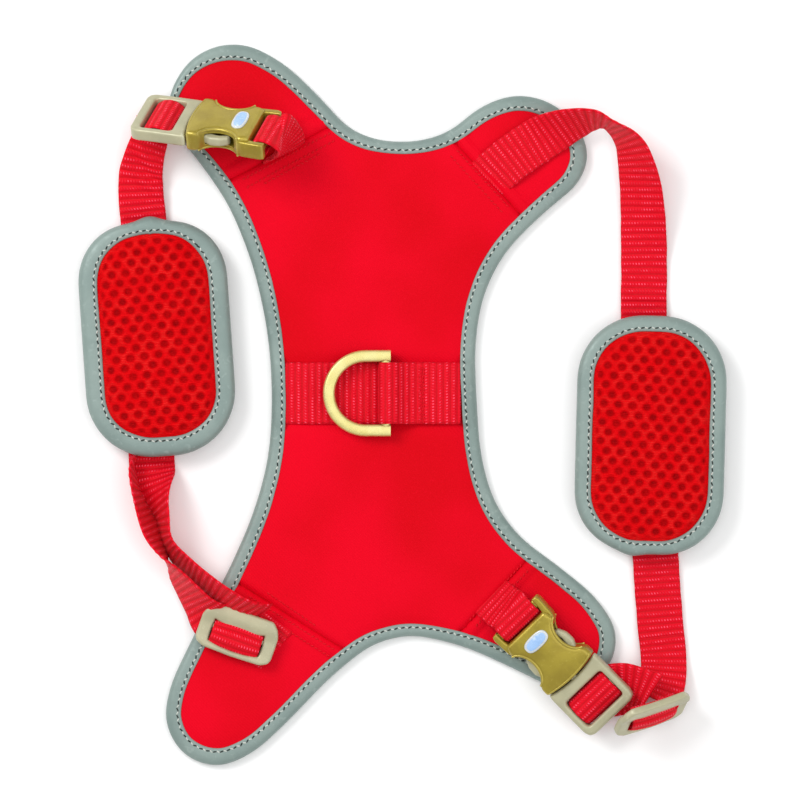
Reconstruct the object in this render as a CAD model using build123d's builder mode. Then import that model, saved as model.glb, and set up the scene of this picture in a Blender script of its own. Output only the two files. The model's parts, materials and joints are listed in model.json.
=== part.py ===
"""Dog harness with a padded back panel, two adjustable side straps and a leash ring.

Millimetres.  The panel lies on its lining in the XY plane, +Z is up, and +Y points to the
end of the panel with the wider lobes.  The origin is on the panel's underside, at the waist.
"""
import os
from math import cos, radians, tan

from build123d import *

os.makedirs("parts", exist_ok=True)

# ---------------------------------------------------------------- driving dimensions
SIDE_WEB = 19.0            # width of the side webbing, 3/4 inch
CROSS_WEB = 25.4           # width of the webbing across the waist, 1 inch
WEB = 1.2                  # thickness of one webbing layer
PLAY = 0.08                # radial play of a running fit
GAP = 0.3                  # clearance between pieces that move past each other

TAPE = 0.6                 # thickness of the binding tape
TAPE_COVER = 6.5           # how far the binding covers the panel's faces
LINING = 1.0
FOAM = 2.0
FACE = 1.0
FACE_TOP = TAPE + LINING + FOAM + FACE
PANEL_TOP = FACE_TOP + TAPE

RING_ROD = 4.9             # diameter of the leash ring's rod
RING_RADIUS = 15.4         # centre line radius of the ring's round end
RING_BAR_X = -4.6          # place of the ring's straight bar
RING_ROUND_X = -13.4       # centre of the ring's round end
CROSS_Y = 5.3              # middle of the cross webbing
CROSS_LEFT = -45.8
CROSS_RIGHT = 25.0

SOCKET_THICK = 9.5
MOUTH_END = 32.0           # open end of the socket, measured from its webbing bar
CAVITY_HALF = 9.6          # half width of the hollow that takes the prongs
CAVITY_HEIGHT = 5.0
WINDOW_START = 12.5        # side windows, measured along the buckle
WINDOW_END = 24.0
BAR_THICK = 3.6
PLUG_START = MOUTH_END + GAP
PLUG_END = 56.0
PLUG_WIDTH = 26.5
PLUG_THICK = 5.2
PLUG_BAR = 4.0             # end bar
PLUG_MIDDLE = 45.1         # middle bar, which the webbing is folded round
PLUG_MIDDLE_BAR = 3.0
PRONG_THICK = 4.2
WEB_SLOT_HALF = 10.2       # half width of every slot that takes the side webbing

SLIDER_LENGTH = 33.0       # across the webbing
SLIDER_WIDTH = 19.2        # along the webbing
SLIDER_THICK = 3.0
SLIDER_RAIL = 4.8
SLIDER_BAR = 2.8

PAD_LENGTH = 100.0
PAD_WIDTH = 62.0
PAD_CORNER = 27.0
PAD_SLEEVE = 0.6           # thickness of the sleeve under the webbing
PAD_CHANNEL = 3.8          # height of the webbing channel under the pad
PAD_BACKING = 1.0
PAD_FOAM = 5.0
PAD_FACE = 1.5
PAD_COVER = 7.0            # how far the binding covers the pad's face
SLEEVE_LENGTH = 60.0
SLEEVE_WALL = 1.0

# Rim of the panel, clockwise from the left side of the upper left lobe.
PANEL_RIM = [
    (-96.5, 118), (-94.5, 132), (-86.5, 144), (-75, 150), (-62, 150), (-47, 142),
    (-32.5, 128), (-21, 115), (-8, 109.8), (8, 109.5), (21, 113.5), (34, 124.5),
    (48, 129.5), (62, 127), (74.5, 117), (79.5, 104), (75, 92), (60, 80), (43.5, 63.5),
    (34.5, 45), (31.5, 24), (32.5, 0), (34, -21), (39.5, -40), (50, -54.5), (66, -66),
    (82, -79), (91, -93), (89, -107), (78, -116.5), (64, -117), (47, -108.5), (27, -99.3),
    (5, -94.5), (-11, -98.5), (-28, -112), (-46, -131), (-60, -144), (-75, -150.5),
    (-90, -145), (-97.5, -131), (-95, -116), (-84, -93), (-70, -67.5), (-59.5, -43),
    (-53.5, -20), (-52.3, 5), (-54, 30), (-60, 58), (-70, 83), (-82, 100.5),
]

# Seams where each lobe's face cloth meets the centre cloth; the lobe is on the left of
# the line from the first point to the second.
LOBE_SEAMS = {
    "upper_left": ((-65.5, 95.9), (-28.6, 115.7)),
    "upper_right": ((23.0, 109.7), (47.9, 82.1)),
    "lower_right": ((52.6, -64.5), (28.6, -90.4)),
    "lower_left": ((-24.9, -99.6), (-64.5, -74.7)),
}
LOBE_REACH = 90.0

# Where the rigid pieces lie: origin, direction of local x, direction of local z.
BUCKLE_PLACES = {
    "left": Plane((-53.5, 111.4, 29.8), x_dir=(-0.952, 0.145, -0.27), z_dir=(-0.056, 0.784, 0.619)),
    "right": Plane((48.9, -87.6, 13.2), x_dir=(0.70, -0.714, 0), z_dir=(-0.15, -0.147, 0.978)),
}
SLIDER_PLACES = {
    "left": Plane((-66.4, -94.2, 9.6), x_dir=(0.943, -0.333, 0), z_dir=(0, 0, 1)),
    "right": Plane((104.8, -126.4, 15.8), x_dir=(0.869, 0.270, -0.414), z_dir=(0.45, -0.78, 0.435)),
}
PAD_PLACES = {
    "left": Plane((-100.0, 29.0, 0), x_dir=(0.9976, 0.0698, 0), z_dir=(0, 0, 1)),
    "right": Plane((104.2, -12.5, 0), x_dir=(0.9997, -0.0262, 0), z_dir=(0, 0, 1)),
}
# The stretch of webbing that each pad's sleeve holds, as the ends of its middle line.
PAD_WEBS = {
    "left": ((-102.3, -20.3), (-105.6, 77.4)),
    "right": ((106.5, -61.8), (101.7, 37.5)),
}


# ---------------------------------------------------------------- helpers
def finish(part, name):
    """Label one finished piece and write it as its own STEP file."""
    part.label = name
    export_step(part, f"parts/{name}.step")


def panel_outline(inset=0.0):
    """The panel's rim with rounded corners, moved in by the inset."""
    corners = []
    radii = []
    previous = PANEL_RIM[-1:] + PANEL_RIM[:-1]
    following = PANEL_RIM[1:] + PANEL_RIM[:1]
    for before, here, after in zip(previous, PANEL_RIM, following):
        run_in = Vector(*here) - Vector(*before)
        run_out = Vector(*after) - Vector(*here)
        half_turn = radians(run_in.get_angle(run_out)) / 2
        inward_in = Vector(run_in.Y, -run_in.X).normalized()
        inward_out = Vector(run_out.Y, -run_out.X).normalized()
        inward = (inward_in + inward_out).normalized()
        side = 1 if run_in.cross(run_out).Z > 0 else -1
        radius = 0.47 * min(run_in.length, run_out.length) / tan(half_turn)
        radii.append(radius + side * inset)
        corners.append(Vector(*here) + inward * (inset / cos(half_turn)))
    with BuildSketch() as outline:
        with BuildLine():
            FilletPolyline(*corners, radius=radii, close=True)
        make_face()
    return outline.sketch


def pad_outline(inset=0.0):
    """The pad's rim, moved in by the inset."""
    with BuildSketch() as outline:
        RectangleRounded(PAD_WIDTH - 2 * inset, PAD_LENGTH - 2 * inset, PAD_CORNER - inset)
    return outline.sketch


def layer(outline, bottom, height, inset=0.0, base=Plane.XY):
    """A flat layer of the given outline."""
    shape = outline(inset)
    with BuildPart() as sheet:
        with BuildSketch(base.offset(bottom)):
            add(shape)
        extrude(amount=height)
    return sheet.part


def tape_ring(outline, bottom, height, cover, base=Plane.XY):
    """Binding tape: a channel that wraps the rim of a stack of layers."""
    whole = layer(outline, bottom, height, 0, base)
    middle = layer(outline, bottom, height, cover, base)
    stack = layer(outline, bottom + TAPE, height - 2 * TAPE, TAPE, base)
    with BuildPart() as ring:
        add(whole)
        add(middle, mode=Mode.SUBTRACT)
        add(stack, mode=Mode.SUBTRACT)
    return ring.part


def ribbon(stations, thick=WEB):
    """Side webbing through stations of (centre, direction of its width)."""
    centres = [Vector(*centre) for centre, across in stations]
    last = len(stations) - 1
    with BuildPart() as web:
        for index, (centre, across) in enumerate(stations):
            ahead = centres[min(index + 1, last)]
            behind = centres[max(index - 1, 0)]
            section = Plane(centre, x_dir=across, z_dir=ahead - behind)
            with BuildSketch(section):
                Rectangle(SIDE_WEB, thick)
        loft(ruled=True)
    return web.part


# ---------------------------------------------------------------- back panel
def lobe_region(seam):
    """Everything on the lobe's side of its seam, as a block through the face cloth."""
    start, end = Vector(*seam[0]), Vector(*seam[1])
    along = (end - start).normalized()
    middle = (start + end) * 0.5 + Vector(-along.Y, along.X) * (LOBE_REACH / 2)
    with BuildPart() as region:
        with BuildSketch(Plane(middle, x_dir=along, z_dir=(0, 0, 1))):
            Rectangle(1.6 * LOBE_REACH, LOBE_REACH)
        extrude(amount=PANEL_TOP)
    return region.part


with BuildPart() as lining:
    add(layer(panel_outline, TAPE, LINING, TAPE))
    add(layer(panel_outline, 0, TAPE, TAPE_COVER))
finish(lining.part, "panel_lining")
finish(layer(panel_outline, TAPE + LINING, FOAM, TAPE), "panel_foam")
finish(tape_ring(panel_outline, 0, PANEL_TOP, TAPE_COVER), "panel_binding")

face_layer = layer(panel_outline, FACE_TOP - FACE, FACE, TAPE)
lobe_regions = {lobe: lobe_region(seam) for lobe, seam in LOBE_SEAMS.items()}
with BuildPart() as face_centre:
    add(face_layer)
    for region in lobe_regions.values():
        add(region, mode=Mode.SUBTRACT)
finish(face_centre.part, "face_centre")

for lobe, region in lobe_regions.items():
    with BuildPart() as lobe_face:
        add(face_layer)
        add(region, mode=Mode.INTERSECT)
    finish(lobe_face.part, f"face_{lobe}")


# ---------------------------------------------------------------- cross webbing and leash ring
RING_EYE = RING_ROD / 2 + PLAY
KEEPER_LEVEL = FACE_TOP + WEB
RING_Z = KEEPER_LEVEL + WEB + RING_EYE

with BuildPart() as cross_strap:
    with BuildSketch(Plane.XY.offset(FACE_TOP)):
        with Locations(((CROSS_LEFT + CROSS_RIGHT) / 2, CROSS_Y)):
            Rectangle(CROSS_RIGHT - CROSS_LEFT, CROSS_WEB)
    extrude(amount=WEB)
finish(cross_strap.part, "cross_strap")

with BuildPart() as ring_keeper:
    with BuildSketch(Plane.XZ.offset(-CROSS_Y - CROSS_WEB / 2)):
        with Locations((RING_BAR_X, RING_Z)):
            Circle(RING_EYE + WEB)
        with BuildLine():
            Polyline(
                (RING_BAR_X, KEEPER_LEVEL), (CROSS_RIGHT, KEEPER_LEVEL),
                (CROSS_RIGHT, KEEPER_LEVEL + WEB), (RING_BAR_X + 9, KEEPER_LEVEL + WEB),
                (RING_BAR_X + 2.5, RING_Z + 2.8), (RING_BAR_X, RING_Z), close=True,
            )
        make_face()
        with Locations((RING_BAR_X, RING_Z)):
            Circle(RING_EYE, mode=Mode.SUBTRACT)
    extrude(amount=CROSS_WEB)
finish(ring_keeper.part, "d_ring_keeper")

with BuildPart() as d_ring:
    low_y = CROSS_Y - RING_RADIUS
    high_y = CROSS_Y + RING_RADIUS
    corner = RING_ROD / 2 + PLAY
    bar_start = (RING_BAR_X, low_y + corner, RING_Z)
    with BuildLine():
        bar = Line(bar_start, (RING_BAR_X, high_y - corner, RING_Z))
        turn = JernArc(bar @ 1, bar % 1, corner, 90)
        arm = Line(turn @ 1, (RING_ROUND_X, high_y, RING_Z))
        bow = JernArc(arm @ 1, arm % 1, RING_RADIUS, 180)
        back = Line(bow @ 1, (RING_BAR_X - corner, low_y, RING_Z))
        JernArc(back @ 1, back % 1, corner, 90)
    with BuildSketch(Plane(bar_start, z_dir=(0, 1, 0))):
        Circle(RING_ROD / 2)
    sweep()
finish(d_ring.part, "d_ring")


# ---------------------------------------------------------------- buckles
def rim_edges(part, normal):
    """Edges that run round the two flat faces of a plate with the given normal."""
    return part.edges().filter_by(lambda edge: abs(edge.tangent_at(0.5).dot(normal)) < 0.1)


def make_socket(place):
    """Female half: a hollow body with a webbing bar, two side windows and an open mouth."""
    with BuildSketch() as body_shape:
        with BuildLine():
            Polyline((-2, 0), (-2, 11.4), (0.5, 12.6), (7.5, 12.0))
            Spline((7.5, 12.0), (16.5, 9.2), (26.0, 12.9), tangents=((1, -0.1), (1, 0.25)))
            Polyline((26.0, 12.9), (MOUTH_END, 13.0), (MOUTH_END, 0))
            mirror(about=Plane.XZ)
        make_face()
    outline = body_shape.sketch
    window_length = WINDOW_END - WINDOW_START
    with BuildPart() as socket:
        with BuildSketch(place.offset(-SOCKET_THICK / 2)):
            add(outline)
        extrude(amount=SOCKET_THICK)
        fillet(rim_edges(socket, place.z_dir), radius=1.6)
        with BuildSketch(place.offset(-CAVITY_HEIGHT / 2)):
            with Locations((9.5, 0)):
                Rectangle(MOUTH_END - 8.0, 2 * CAVITY_HALF, align=(Align.MIN, Align.CENTER))
        extrude(amount=CAVITY_HEIGHT, mode=Mode.SUBTRACT)
        with BuildSketch(place.offset(-3.0)):
            with Locations((WINDOW_START, 7.2), (WINDOW_START, -20 - 7.2)):
                Rectangle(window_length, 20, align=(Align.MIN, Align.MIN))
        extrude(amount=6.0, mode=Mode.SUBTRACT)
        with BuildSketch(place.offset(-SOCKET_THICK)):
            with Locations((2, 0)):
                Rectangle(5.2, 2 * WEB_SLOT_HALF, align=(Align.MIN, Align.CENTER))
        extrude(amount=2 * SOCKET_THICK, mode=Mode.SUBTRACT)
        with BuildSketch(place.offset(BAR_THICK / 2), place.offset(-BAR_THICK / 2 - 6)):
            with Locations((-3, 0)):
                Rectangle(6, 2 * WEB_SLOT_HALF, align=(Align.MIN, Align.CENTER))
        extrude(amount=6, mode=Mode.SUBTRACT)
    return socket.part


def make_badge(place):
    """Plain oval cap on the socket's top face."""
    with BuildPart() as badge:
        with BuildSketch(place.offset(SOCKET_THICK / 2)):
            with Locations((11.4, 0)):
                SlotOverall(11.0, 5.6, rotation=90)
        extrude(amount=0.7)
        fillet(badge.faces().sort_by(Axis(place.origin, place.z_dir))[-1].edges(), radius=0.4)
    return badge.part


def make_plug(place):
    """Male half: a shoulder, a webbing slot with a middle bar, an end bar and a guide tongue."""
    with BuildPart() as plug:
        with BuildSketch(place.offset(-PLUG_THICK / 2)):
            with Locations(((PLUG_START + PLUG_END) / 2, 0)):
                RectangleRounded(PLUG_END - PLUG_START, PLUG_WIDTH, 3.0)
        extrude(amount=PLUG_THICK)
        fillet(rim_edges(plug, place.z_dir), radius=1.4)
        with BuildSketch(place.offset(-PLUG_THICK)):
            with Locations((PLUG_END - PLUG_BAR, 0)):
                Rectangle(13.8, 2 * WEB_SLOT_HALF, align=(Align.MAX, Align.CENTER))
        extrude(amount=2 * PLUG_THICK, mode=Mode.SUBTRACT)
        with BuildSketch(place.offset(-PLUG_MIDDLE_BAR / 2)):
            with Locations((PLUG_MIDDLE, 0)):
                Rectangle(PLUG_MIDDLE_BAR, 2 * WEB_SLOT_HALF + 1)
        extrude(amount=PLUG_MIDDLE_BAR)
        with BuildSketch(place.offset(-PRONG_THICK / 2)):
            with Locations((13.0, 0)):
                Rectangle(PLUG_START + 1 - 13.0, 2.6, align=(Align.MIN, Align.CENTER))
        extrude(amount=PRONG_THICK)
    return plug.part


def make_prong(place, side):
    """One squeeze arm with its catch behind the socket's mouth block."""
    with BuildSketch() as arm_shape:
        with BuildLine():
            Polyline(
                (31.8, 4.4), (31.8, 7.6), (26.5, 8.4), (23.6, 8.8), (23.6, 11.5), (21.5, 11.8),
                (17.0, 11.2), (13.6, 8.6), (13.3, 6.6), (15.0, 5.4), (24.0, 5.0), close=True,
            )
        make_face()
    arm = arm_shape.sketch if side > 0 else mirror(arm_shape.sketch, about=Plane.XZ)
    with BuildPart() as prong:
        with BuildSketch(place.offset(-PRONG_THICK / 2)):
            add(arm)
        extrude(amount=PRONG_THICK)
        corners = prong.edges().filter_by(Axis(place.origin, place.z_dir))
        fillet(corners, radius=0.35)
    return prong.part


def web_loop(place, centre_x, bar_width, bar_thick):
    """Webbing folded round a flat bar that lies across the buckle."""
    room = 0.15
    across = Plane(place.origin, x_dir=place.x_dir, z_dir=place.y_dir)
    with BuildPart() as loop:
        with BuildSketch(across.offset(-SIDE_WEB / 2)):
            with Locations((centre_x, 0)):
                outer = 2 * (room + WEB)
                RectangleRounded(bar_width + outer, bar_thick + outer, 1.9)
                Rectangle(bar_width + 2 * room, bar_thick + 2 * room, mode=Mode.SUBTRACT)
        extrude(amount=SIDE_WEB)
    return loop.part


# Tethers: how each one rises from its seam, as (centre, direction of the width).
TETHER_ROOTS = {
    "left": [((-45.0, 105.5, 8.4), (0.50, 0.866, 0)), ((-43.4, 106.3, 18.0), (0.46, 0.80, -0.38))],
    "right": [((40.5, -81.0, 9.0), (0.70, 0.71, 0))],
}

for side, place in BUCKLE_PLACES.items():
    finish(make_socket(place), f"{side}_buckle_socket")
    finish(make_badge(place), f"{side}_buckle_badge")
    finish(make_plug(place), f"{side}_buckle_plug")
    finish(make_prong(place, 1), f"{side}_prong_front")
    finish(make_prong(place, -1), f"{side}_prong_rear")
    finish(web_loop(place, PLUG_MIDDLE, PLUG_MIDDLE_BAR, PLUG_MIDDLE_BAR), f"{side}_strap_fold")
    below_bar = place.origin - place.x_dir * 8.5 - place.z_dir * 2.6
    near_bar = place.origin - place.x_dir * 3.6 - place.z_dir * 0.6
    bar_across = tuple(place.y_dir * (-1 if side == "left" else 1))
    stations = [
        *TETHER_ROOTS[side], (tuple(below_bar), bar_across), (tuple(near_bar), bar_across),
    ]
    tail = ribbon(stations, 2 * WEB)
    with BuildPart() as tether:
        add(web_loop(place, 0, 4.0, BAR_THICK))
        add(tail)
    finish(tether.part, f"{side}_tether")


# ---------------------------------------------------------------- sliders
def make_slider(place):
    """Tri-glide: a frame with a middle bar between two webbing slots."""
    slot = (SLIDER_WIDTH - 2 * SLIDER_RAIL - SLIDER_BAR) / 2
    with BuildPart() as slider:
        with BuildSketch(place.offset(-SLIDER_THICK / 2)):
            RectangleRounded(SLIDER_LENGTH, SLIDER_WIDTH, 2.5)
        extrude(amount=SLIDER_THICK)
        fillet(rim_edges(slider, place.z_dir), radius=1.0)
        with BuildSketch(place.offset(-SLIDER_THICK)):
            with Locations((0, (SLIDER_BAR + slot) / 2), (0, -(SLIDER_BAR + slot) / 2)):
                Rectangle(2 * WEB_SLOT_HALF, slot)
        extrude(amount=2 * SLIDER_THICK, mode=Mode.SUBTRACT)
    return slider.part


def make_slider_wrap(place):
    """The webbing's end, sewn round the slider's middle bar."""
    room = 0.1
    across = Plane(place.origin, x_dir=place.y_dir, z_dir=place.x_dir)
    with BuildPart() as wrap:
        with BuildSketch(across.offset(-SIDE_WEB / 2)):
            Rectangle(SLIDER_BAR + 2 * WEB + 2 * room, SLIDER_THICK + 2 * WEB + 2 * room)
            Rectangle(SLIDER_BAR + 2 * room, SLIDER_THICK + 2 * room, mode=Mode.SUBTRACT)
        extrude(amount=SIDE_WEB)
    return wrap.part


for side, place in SLIDER_PLACES.items():
    finish(make_slider(place), f"{side}_slider")
    finish(make_slider_wrap(place), f"{side}_slider_wrap")

# ---------------------------------------------------------------- pads
PAD_BASE = PAD_SLEEVE + PAD_CHANNEL + GAP

for side, place in PAD_PLACES.items():
    foam_level = PAD_BASE + TAPE + PAD_BACKING
    face_level = foam_level + PAD_FOAM
    pad_height = face_level + PAD_FACE + TAPE - PAD_BASE
    finish(layer(pad_outline, PAD_BASE + TAPE, PAD_BACKING, TAPE, place), f"{side}_pad_backing")
    finish(layer(pad_outline, foam_level, PAD_FOAM, TAPE, place), f"{side}_pad_foam")
    finish(layer(pad_outline, face_level, PAD_FACE, TAPE, place), f"{side}_pad_face")
    finish(tape_ring(pad_outline, PAD_BASE, pad_height, PAD_COVER, place), f"{side}_pad_binding")
    low, high = Vector(*PAD_WEBS[side][0]), Vector(*PAD_WEBS[side][1])
    along = (high - low).normalized()
    channel = SIDE_WEB + 2.0
    channel_plane = Plane((low + high) * 0.5, x_dir=(along.Y, -along.X, 0), z_dir=(0, 0, 1))
    with BuildPart() as sleeve:
        with BuildSketch(channel_plane):
            Rectangle(channel + 2 * SLEEVE_WALL, SLEEVE_LENGTH)
        extrude(amount=PAD_BASE + TAPE)
        with BuildSketch(channel_plane.offset(PAD_SLEEVE)):
            Rectangle(channel, SLEEVE_LENGTH + 2)
        extrude(amount=PAD_BASE + TAPE, mode=Mode.SUBTRACT)
    finish(sleeve.part, f"{side}_pad_sleeve")

# ---------------------------------------------------------------- side webbing
# Each ribbon is a thickness and its stations: the middle of the webbing and the direction of
# its width.  Where a strap turns a corner it stands on edge, as flat webbing has to.
RIBBONS = {
    # Sewn into the lower left seam, under the slider.
    "left_strap_anchor": (WEB, [
        ((-51.0, -86.0, 6.2), (0.76, -0.65, 0)),
        ((-57.5, -92.0, 6.2), (0.86, -0.50, 0)),
        ((-63.5, -100.0, 6.2), (0.94, -0.33, 0)),
    ]),
    # Inner layer, from the pad to the lower left lobe.
    "left_strap_lower": (WEB, [
        ((-102.4, -21.8, 1.6), (19.0, 0, 0)),
        ((-102.2, -25.0, 1.8), (19.0, 0, 0.6)),
        ((-101.0, -33.5, 6.4), (14.0, 0, 9.6)),
        ((-97.9, -44.7, 10.4), (7.0, 1.2, 17.5)),
        ((-94.3, -55.3, 11.0), (1.6, 1.8, 18.8)),
        ((-87.2, -64.0, 12.0), (1.8, 3.2, 18.5)),
        ((-79.0, -71.5, 14.6), (3.0, 3.8, 18.0)),
        ((-71.0, -78.0, 15.6), (4.2, 4.3, 17.6)),
    ]),
    # Outer layer, from the pad back to the slider.
    "left_strap_return": (WEB, [
        ((-112.2, -24.0, 10.2), (0.6, 0, 19.0)),
        ((-111.4, -34.0, 10.6), (1.5, 0.5, 18.8)),
        ((-108.9, -41.0, 10.6), (1.8, 0.7, 18.7)),
        ((-103.2, -55.4, 10.8), (2.4, 1.2, 18.5)),
        ((-95.6, -67.6, 11.2), (2.4, 2.5, 18.0)),
        ((-87.2, -77.8, 12.6), (4.0, 4.0, 17.5)),
    ]),
    # Both layers, under the left pad and up to the underside of the plug.
    "left_strap_upper": (2.6, [
        ((-102.4, -20.5, 2.5), (19.0, 0, 0)),
        ((-105.6, 77.4, 2.5), (19.0, 0, 0)),
        ((-106.7, 90.0, 2.6), (19.0, 0, 0)),
        ((-106.6, 98.0, 5.2), (19.0, 0, 0)),
        ((-104.6, 105.0, 8.0), (19.0, 0, 0)),
        ((-102.4, 112.0, 9.2), (19.0, 0, 0)),
        ((-101.4, 118.5, 9.2), (19.0, 0, 0)),
    ]),
    # From the upper right seam, over the lobe and down to the pad.
    "right_strap_anchor": (WEB, [
        ((40.9, 97.7, 6.3), (13.7, -14.5, 0)),
        ((57.3, 109.6, 7.0), (13.4, -12.8, -1.0)),
        ((71.5, 116.4, 13.2), (9.3, -10.7, -12.6)),
        ((78.0, 117.9, 15.0), (5.8, -8.4, -16.0)),
        ((83.5, 117.6, 15.5), (2.9, -6.2, -17.7)),
        ((86.9, 116.0, 15.5), (-2.0, -2.9, -18.7)),
        ((91.7, 112.8, 14.3), (-7.6, -1.8, -17.3)),
        ((95.6, 107.8, 13.2), (-11.4, -1.1, -15.2)),
        ((98.4, 99.6, 11.3), (-14.0, -2.3, -12.6)),
        ((100.2, 90.4, 8.0), (-16.2, -2.4, -9.6)),
        ((101.2, 79.3, 5.0), (-17.7, -1.2, -6.0)),
        ((101.8, 61.3, 1.9), (-18.6, 0, -0.5)),
        ((101.7, 38.5, 1.7), (-19.0, 0, 0)),
    ]),
    # Under the right pad and down to the slider.
    "right_strap_upper": (WEB, [
        ((101.75, 37.5, 1.7), (-19.0, 0, 0)),
        ((106.5, -61.8, 1.7), (-19.0, 0, 0)),
        ((108.6, -92.0, 1.7), (-19.0, 0, 0)),
        ((109.9, -105.0, 2.6), (-18.4, 0, 1.2)),
        ((109.6, -113.5, 6.2), (-17.6, -1.0, 3.0)),
        ((109.2, -115.0, 7.0), (-17.2, -1.6, 3.4)),
    ]),
    # From under the right plug across to the slider.
    "right_strap_link": (WEB, [
        ((79.5, -119.5, 8.0), (0.50, 0.85, 0.18)),
        ((85.5, -116.5, 8.8), (0.36, 0.90, 0.22)),
        ((92.5, -115.2, 10.4), (0.22, 0.92, 0.32)),
        ((99.0, -116.5, 12.6), (0.34, 0.84, 0.40)),
        ((104.0, -119.2, 14.0), (0.60, 0.70, 0.20)),
    ]),
}
for name, (thick, stations) in RIBBONS.items():
    finish(ribbon(stations, thick), name)
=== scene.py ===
"""Looks of the dog harness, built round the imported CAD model.  Helper lengths are in mm."""

import json
import math
from collections import Counter

import bmesh
import bpy
import numpy as np
from mathutils import Matrix, Vector, noise
from mathutils.bvhtree import BVHTree
from mathutils.geometry import delaunay_2d_cdt


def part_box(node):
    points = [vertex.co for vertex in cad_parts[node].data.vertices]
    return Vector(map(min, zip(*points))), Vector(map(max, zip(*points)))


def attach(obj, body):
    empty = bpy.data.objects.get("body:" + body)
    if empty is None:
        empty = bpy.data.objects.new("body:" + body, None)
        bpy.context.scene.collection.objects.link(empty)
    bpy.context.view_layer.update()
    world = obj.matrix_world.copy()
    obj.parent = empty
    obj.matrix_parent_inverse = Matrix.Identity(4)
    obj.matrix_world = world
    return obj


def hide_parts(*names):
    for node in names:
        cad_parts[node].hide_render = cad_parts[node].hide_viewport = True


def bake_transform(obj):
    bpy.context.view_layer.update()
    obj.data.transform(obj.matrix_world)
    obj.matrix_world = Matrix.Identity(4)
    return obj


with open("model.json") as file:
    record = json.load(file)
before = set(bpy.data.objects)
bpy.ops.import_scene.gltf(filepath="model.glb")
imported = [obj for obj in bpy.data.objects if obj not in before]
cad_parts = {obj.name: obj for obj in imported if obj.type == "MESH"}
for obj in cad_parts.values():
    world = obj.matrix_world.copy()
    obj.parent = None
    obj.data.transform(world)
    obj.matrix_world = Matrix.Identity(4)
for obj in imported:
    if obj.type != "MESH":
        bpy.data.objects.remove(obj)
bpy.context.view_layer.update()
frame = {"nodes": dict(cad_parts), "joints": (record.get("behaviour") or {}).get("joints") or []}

MM = 0.001
SIDES = ("left", "right")
SIDE_WEB = 19.0            # width of the side straps' webbing
CROSS_WEB = 25.4           # width of the cross webbing
WEB = 1.25                 # usual thickness of webbing
RIB_PITCH = 2.85
RIB_RELIEF = 0.17
TAPE = 0.6                 # thickness of the binding tape
FACE_TOP = 4.6             # height of the face cloth at the rim
CROSS_Y = 5.3              # where the cross webbing's middle lies
CREASE_ANGLE = 42          # sharper edges than this, in degrees, stay hard on moulded parts


# ---------------------------------------------------------------- materials
class Shader:
    """One procedural material, built node by node."""

    def __init__(self, name, color, roughness, **sockets):
        self.material = bpy.data.materials.new(name)
        self.material.use_nodes = True
        self.tree = self.material.node_tree
        self.bsdf = self.tree.nodes["Principled BSDF"]
        self.bsdf.inputs["Base Color"].default_value = (*color, 1)
        self.bsdf.inputs["Roughness"].default_value = roughness
        for key, value in sockets.items():
            self.bsdf.inputs[key.replace("_", " ")].default_value = value
        self.normal = None

    def put(self, kind, inputs, output=0, **settings):
        """Adds a node; its inputs are numbers, colours or other nodes' outputs."""
        made = self.tree.nodes.new(kind)
        for key, value in settings.items():
            setattr(made, key, value)
        for key, value in inputs.items():
            if isinstance(value, bpy.types.NodeSocket):
                self.tree.links.new(value, made.inputs[key])
            else:
                made.inputs[key].default_value = value
        return made.outputs[output]

    def math(self, operation, *values):
        return self.put("ShaderNodeMath", dict(enumerate(values)), operation=operation)

    def place(self):
        """The point in mm."""
        point = self.put("ShaderNodeTexCoord", {}, "Object")
        return self.put("ShaderNodeVectorMath", {0: point, 1: (1e3, 1e3, 1e3)}, operation="MULTIPLY")

    def weave_place(self):
        """Place along and across a strap in mm, from its UV map in metres."""
        point = self.put("ShaderNodeTexCoord", {}, "UV")
        scaled = self.put("ShaderNodeVectorMath", {0: point, 1: (1e3, 1e3, 1e3)}, operation="MULTIPLY")
        split = self.put("ShaderNodeSeparateXYZ", {0: scaled}).node
        return split.outputs[0], split.outputs[1], scaled

    def cloud(self, scale, detail, where, distortion=0.0):
        """Noise from 0 to 1, with features about 1 / scale mm across."""
        inputs = {"Vector": where, "Scale": scale, "Detail": detail, "Distortion": distortion}
        return self.put("ShaderNodeTexNoise", inputs)

    def bands(self, where, scale, distortion, detail, direction):
        """Wavy parallel bands, from 0 to 1."""
        inputs = {"Vector": where, "Scale": scale, "Distortion": distortion, "Detail": detail}
        return self.put("ShaderNodeTexWave", inputs, 1, wave_type="BANDS", bands_direction=direction)

    def between(self, value, low, high, to_low=0.0, to_high=1.0):
        inputs = {0: value, 1: low, 2: high, 3: to_low, 4: to_high}
        return self.put("ShaderNodeMapRange", inputs, interpolation_type="SMOOTHSTEP")

    def tint(self, amount, color):
        """Mixes a colour over the base colour so far."""
        base = self.bsdf.inputs["Base Color"]
        before = base.links[0].from_socket if base.links else tuple(base.default_value)
        inputs = {"Factor": amount, 6: before, 7: (*color, 1)}
        mixed = self.put("ShaderNodeMix", inputs, 2, data_type="RGBA")
        self.tree.links.new(mixed, base)

    def rough(self, value):
        self.tree.links.new(value, self.bsdf.inputs["Roughness"])

    def bump(self, height, distance):
        """Adds relief; distance is its depth in mm."""
        inputs = {"Height": height, "Distance": distance * MM, "Strength": 1.0}
        if self.normal is not None:
            inputs["Normal"] = self.normal
        self.normal = self.put("ShaderNodeBump", inputs)
        self.tree.links.new(self.normal, self.bsdf.inputs["Normal"])


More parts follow.
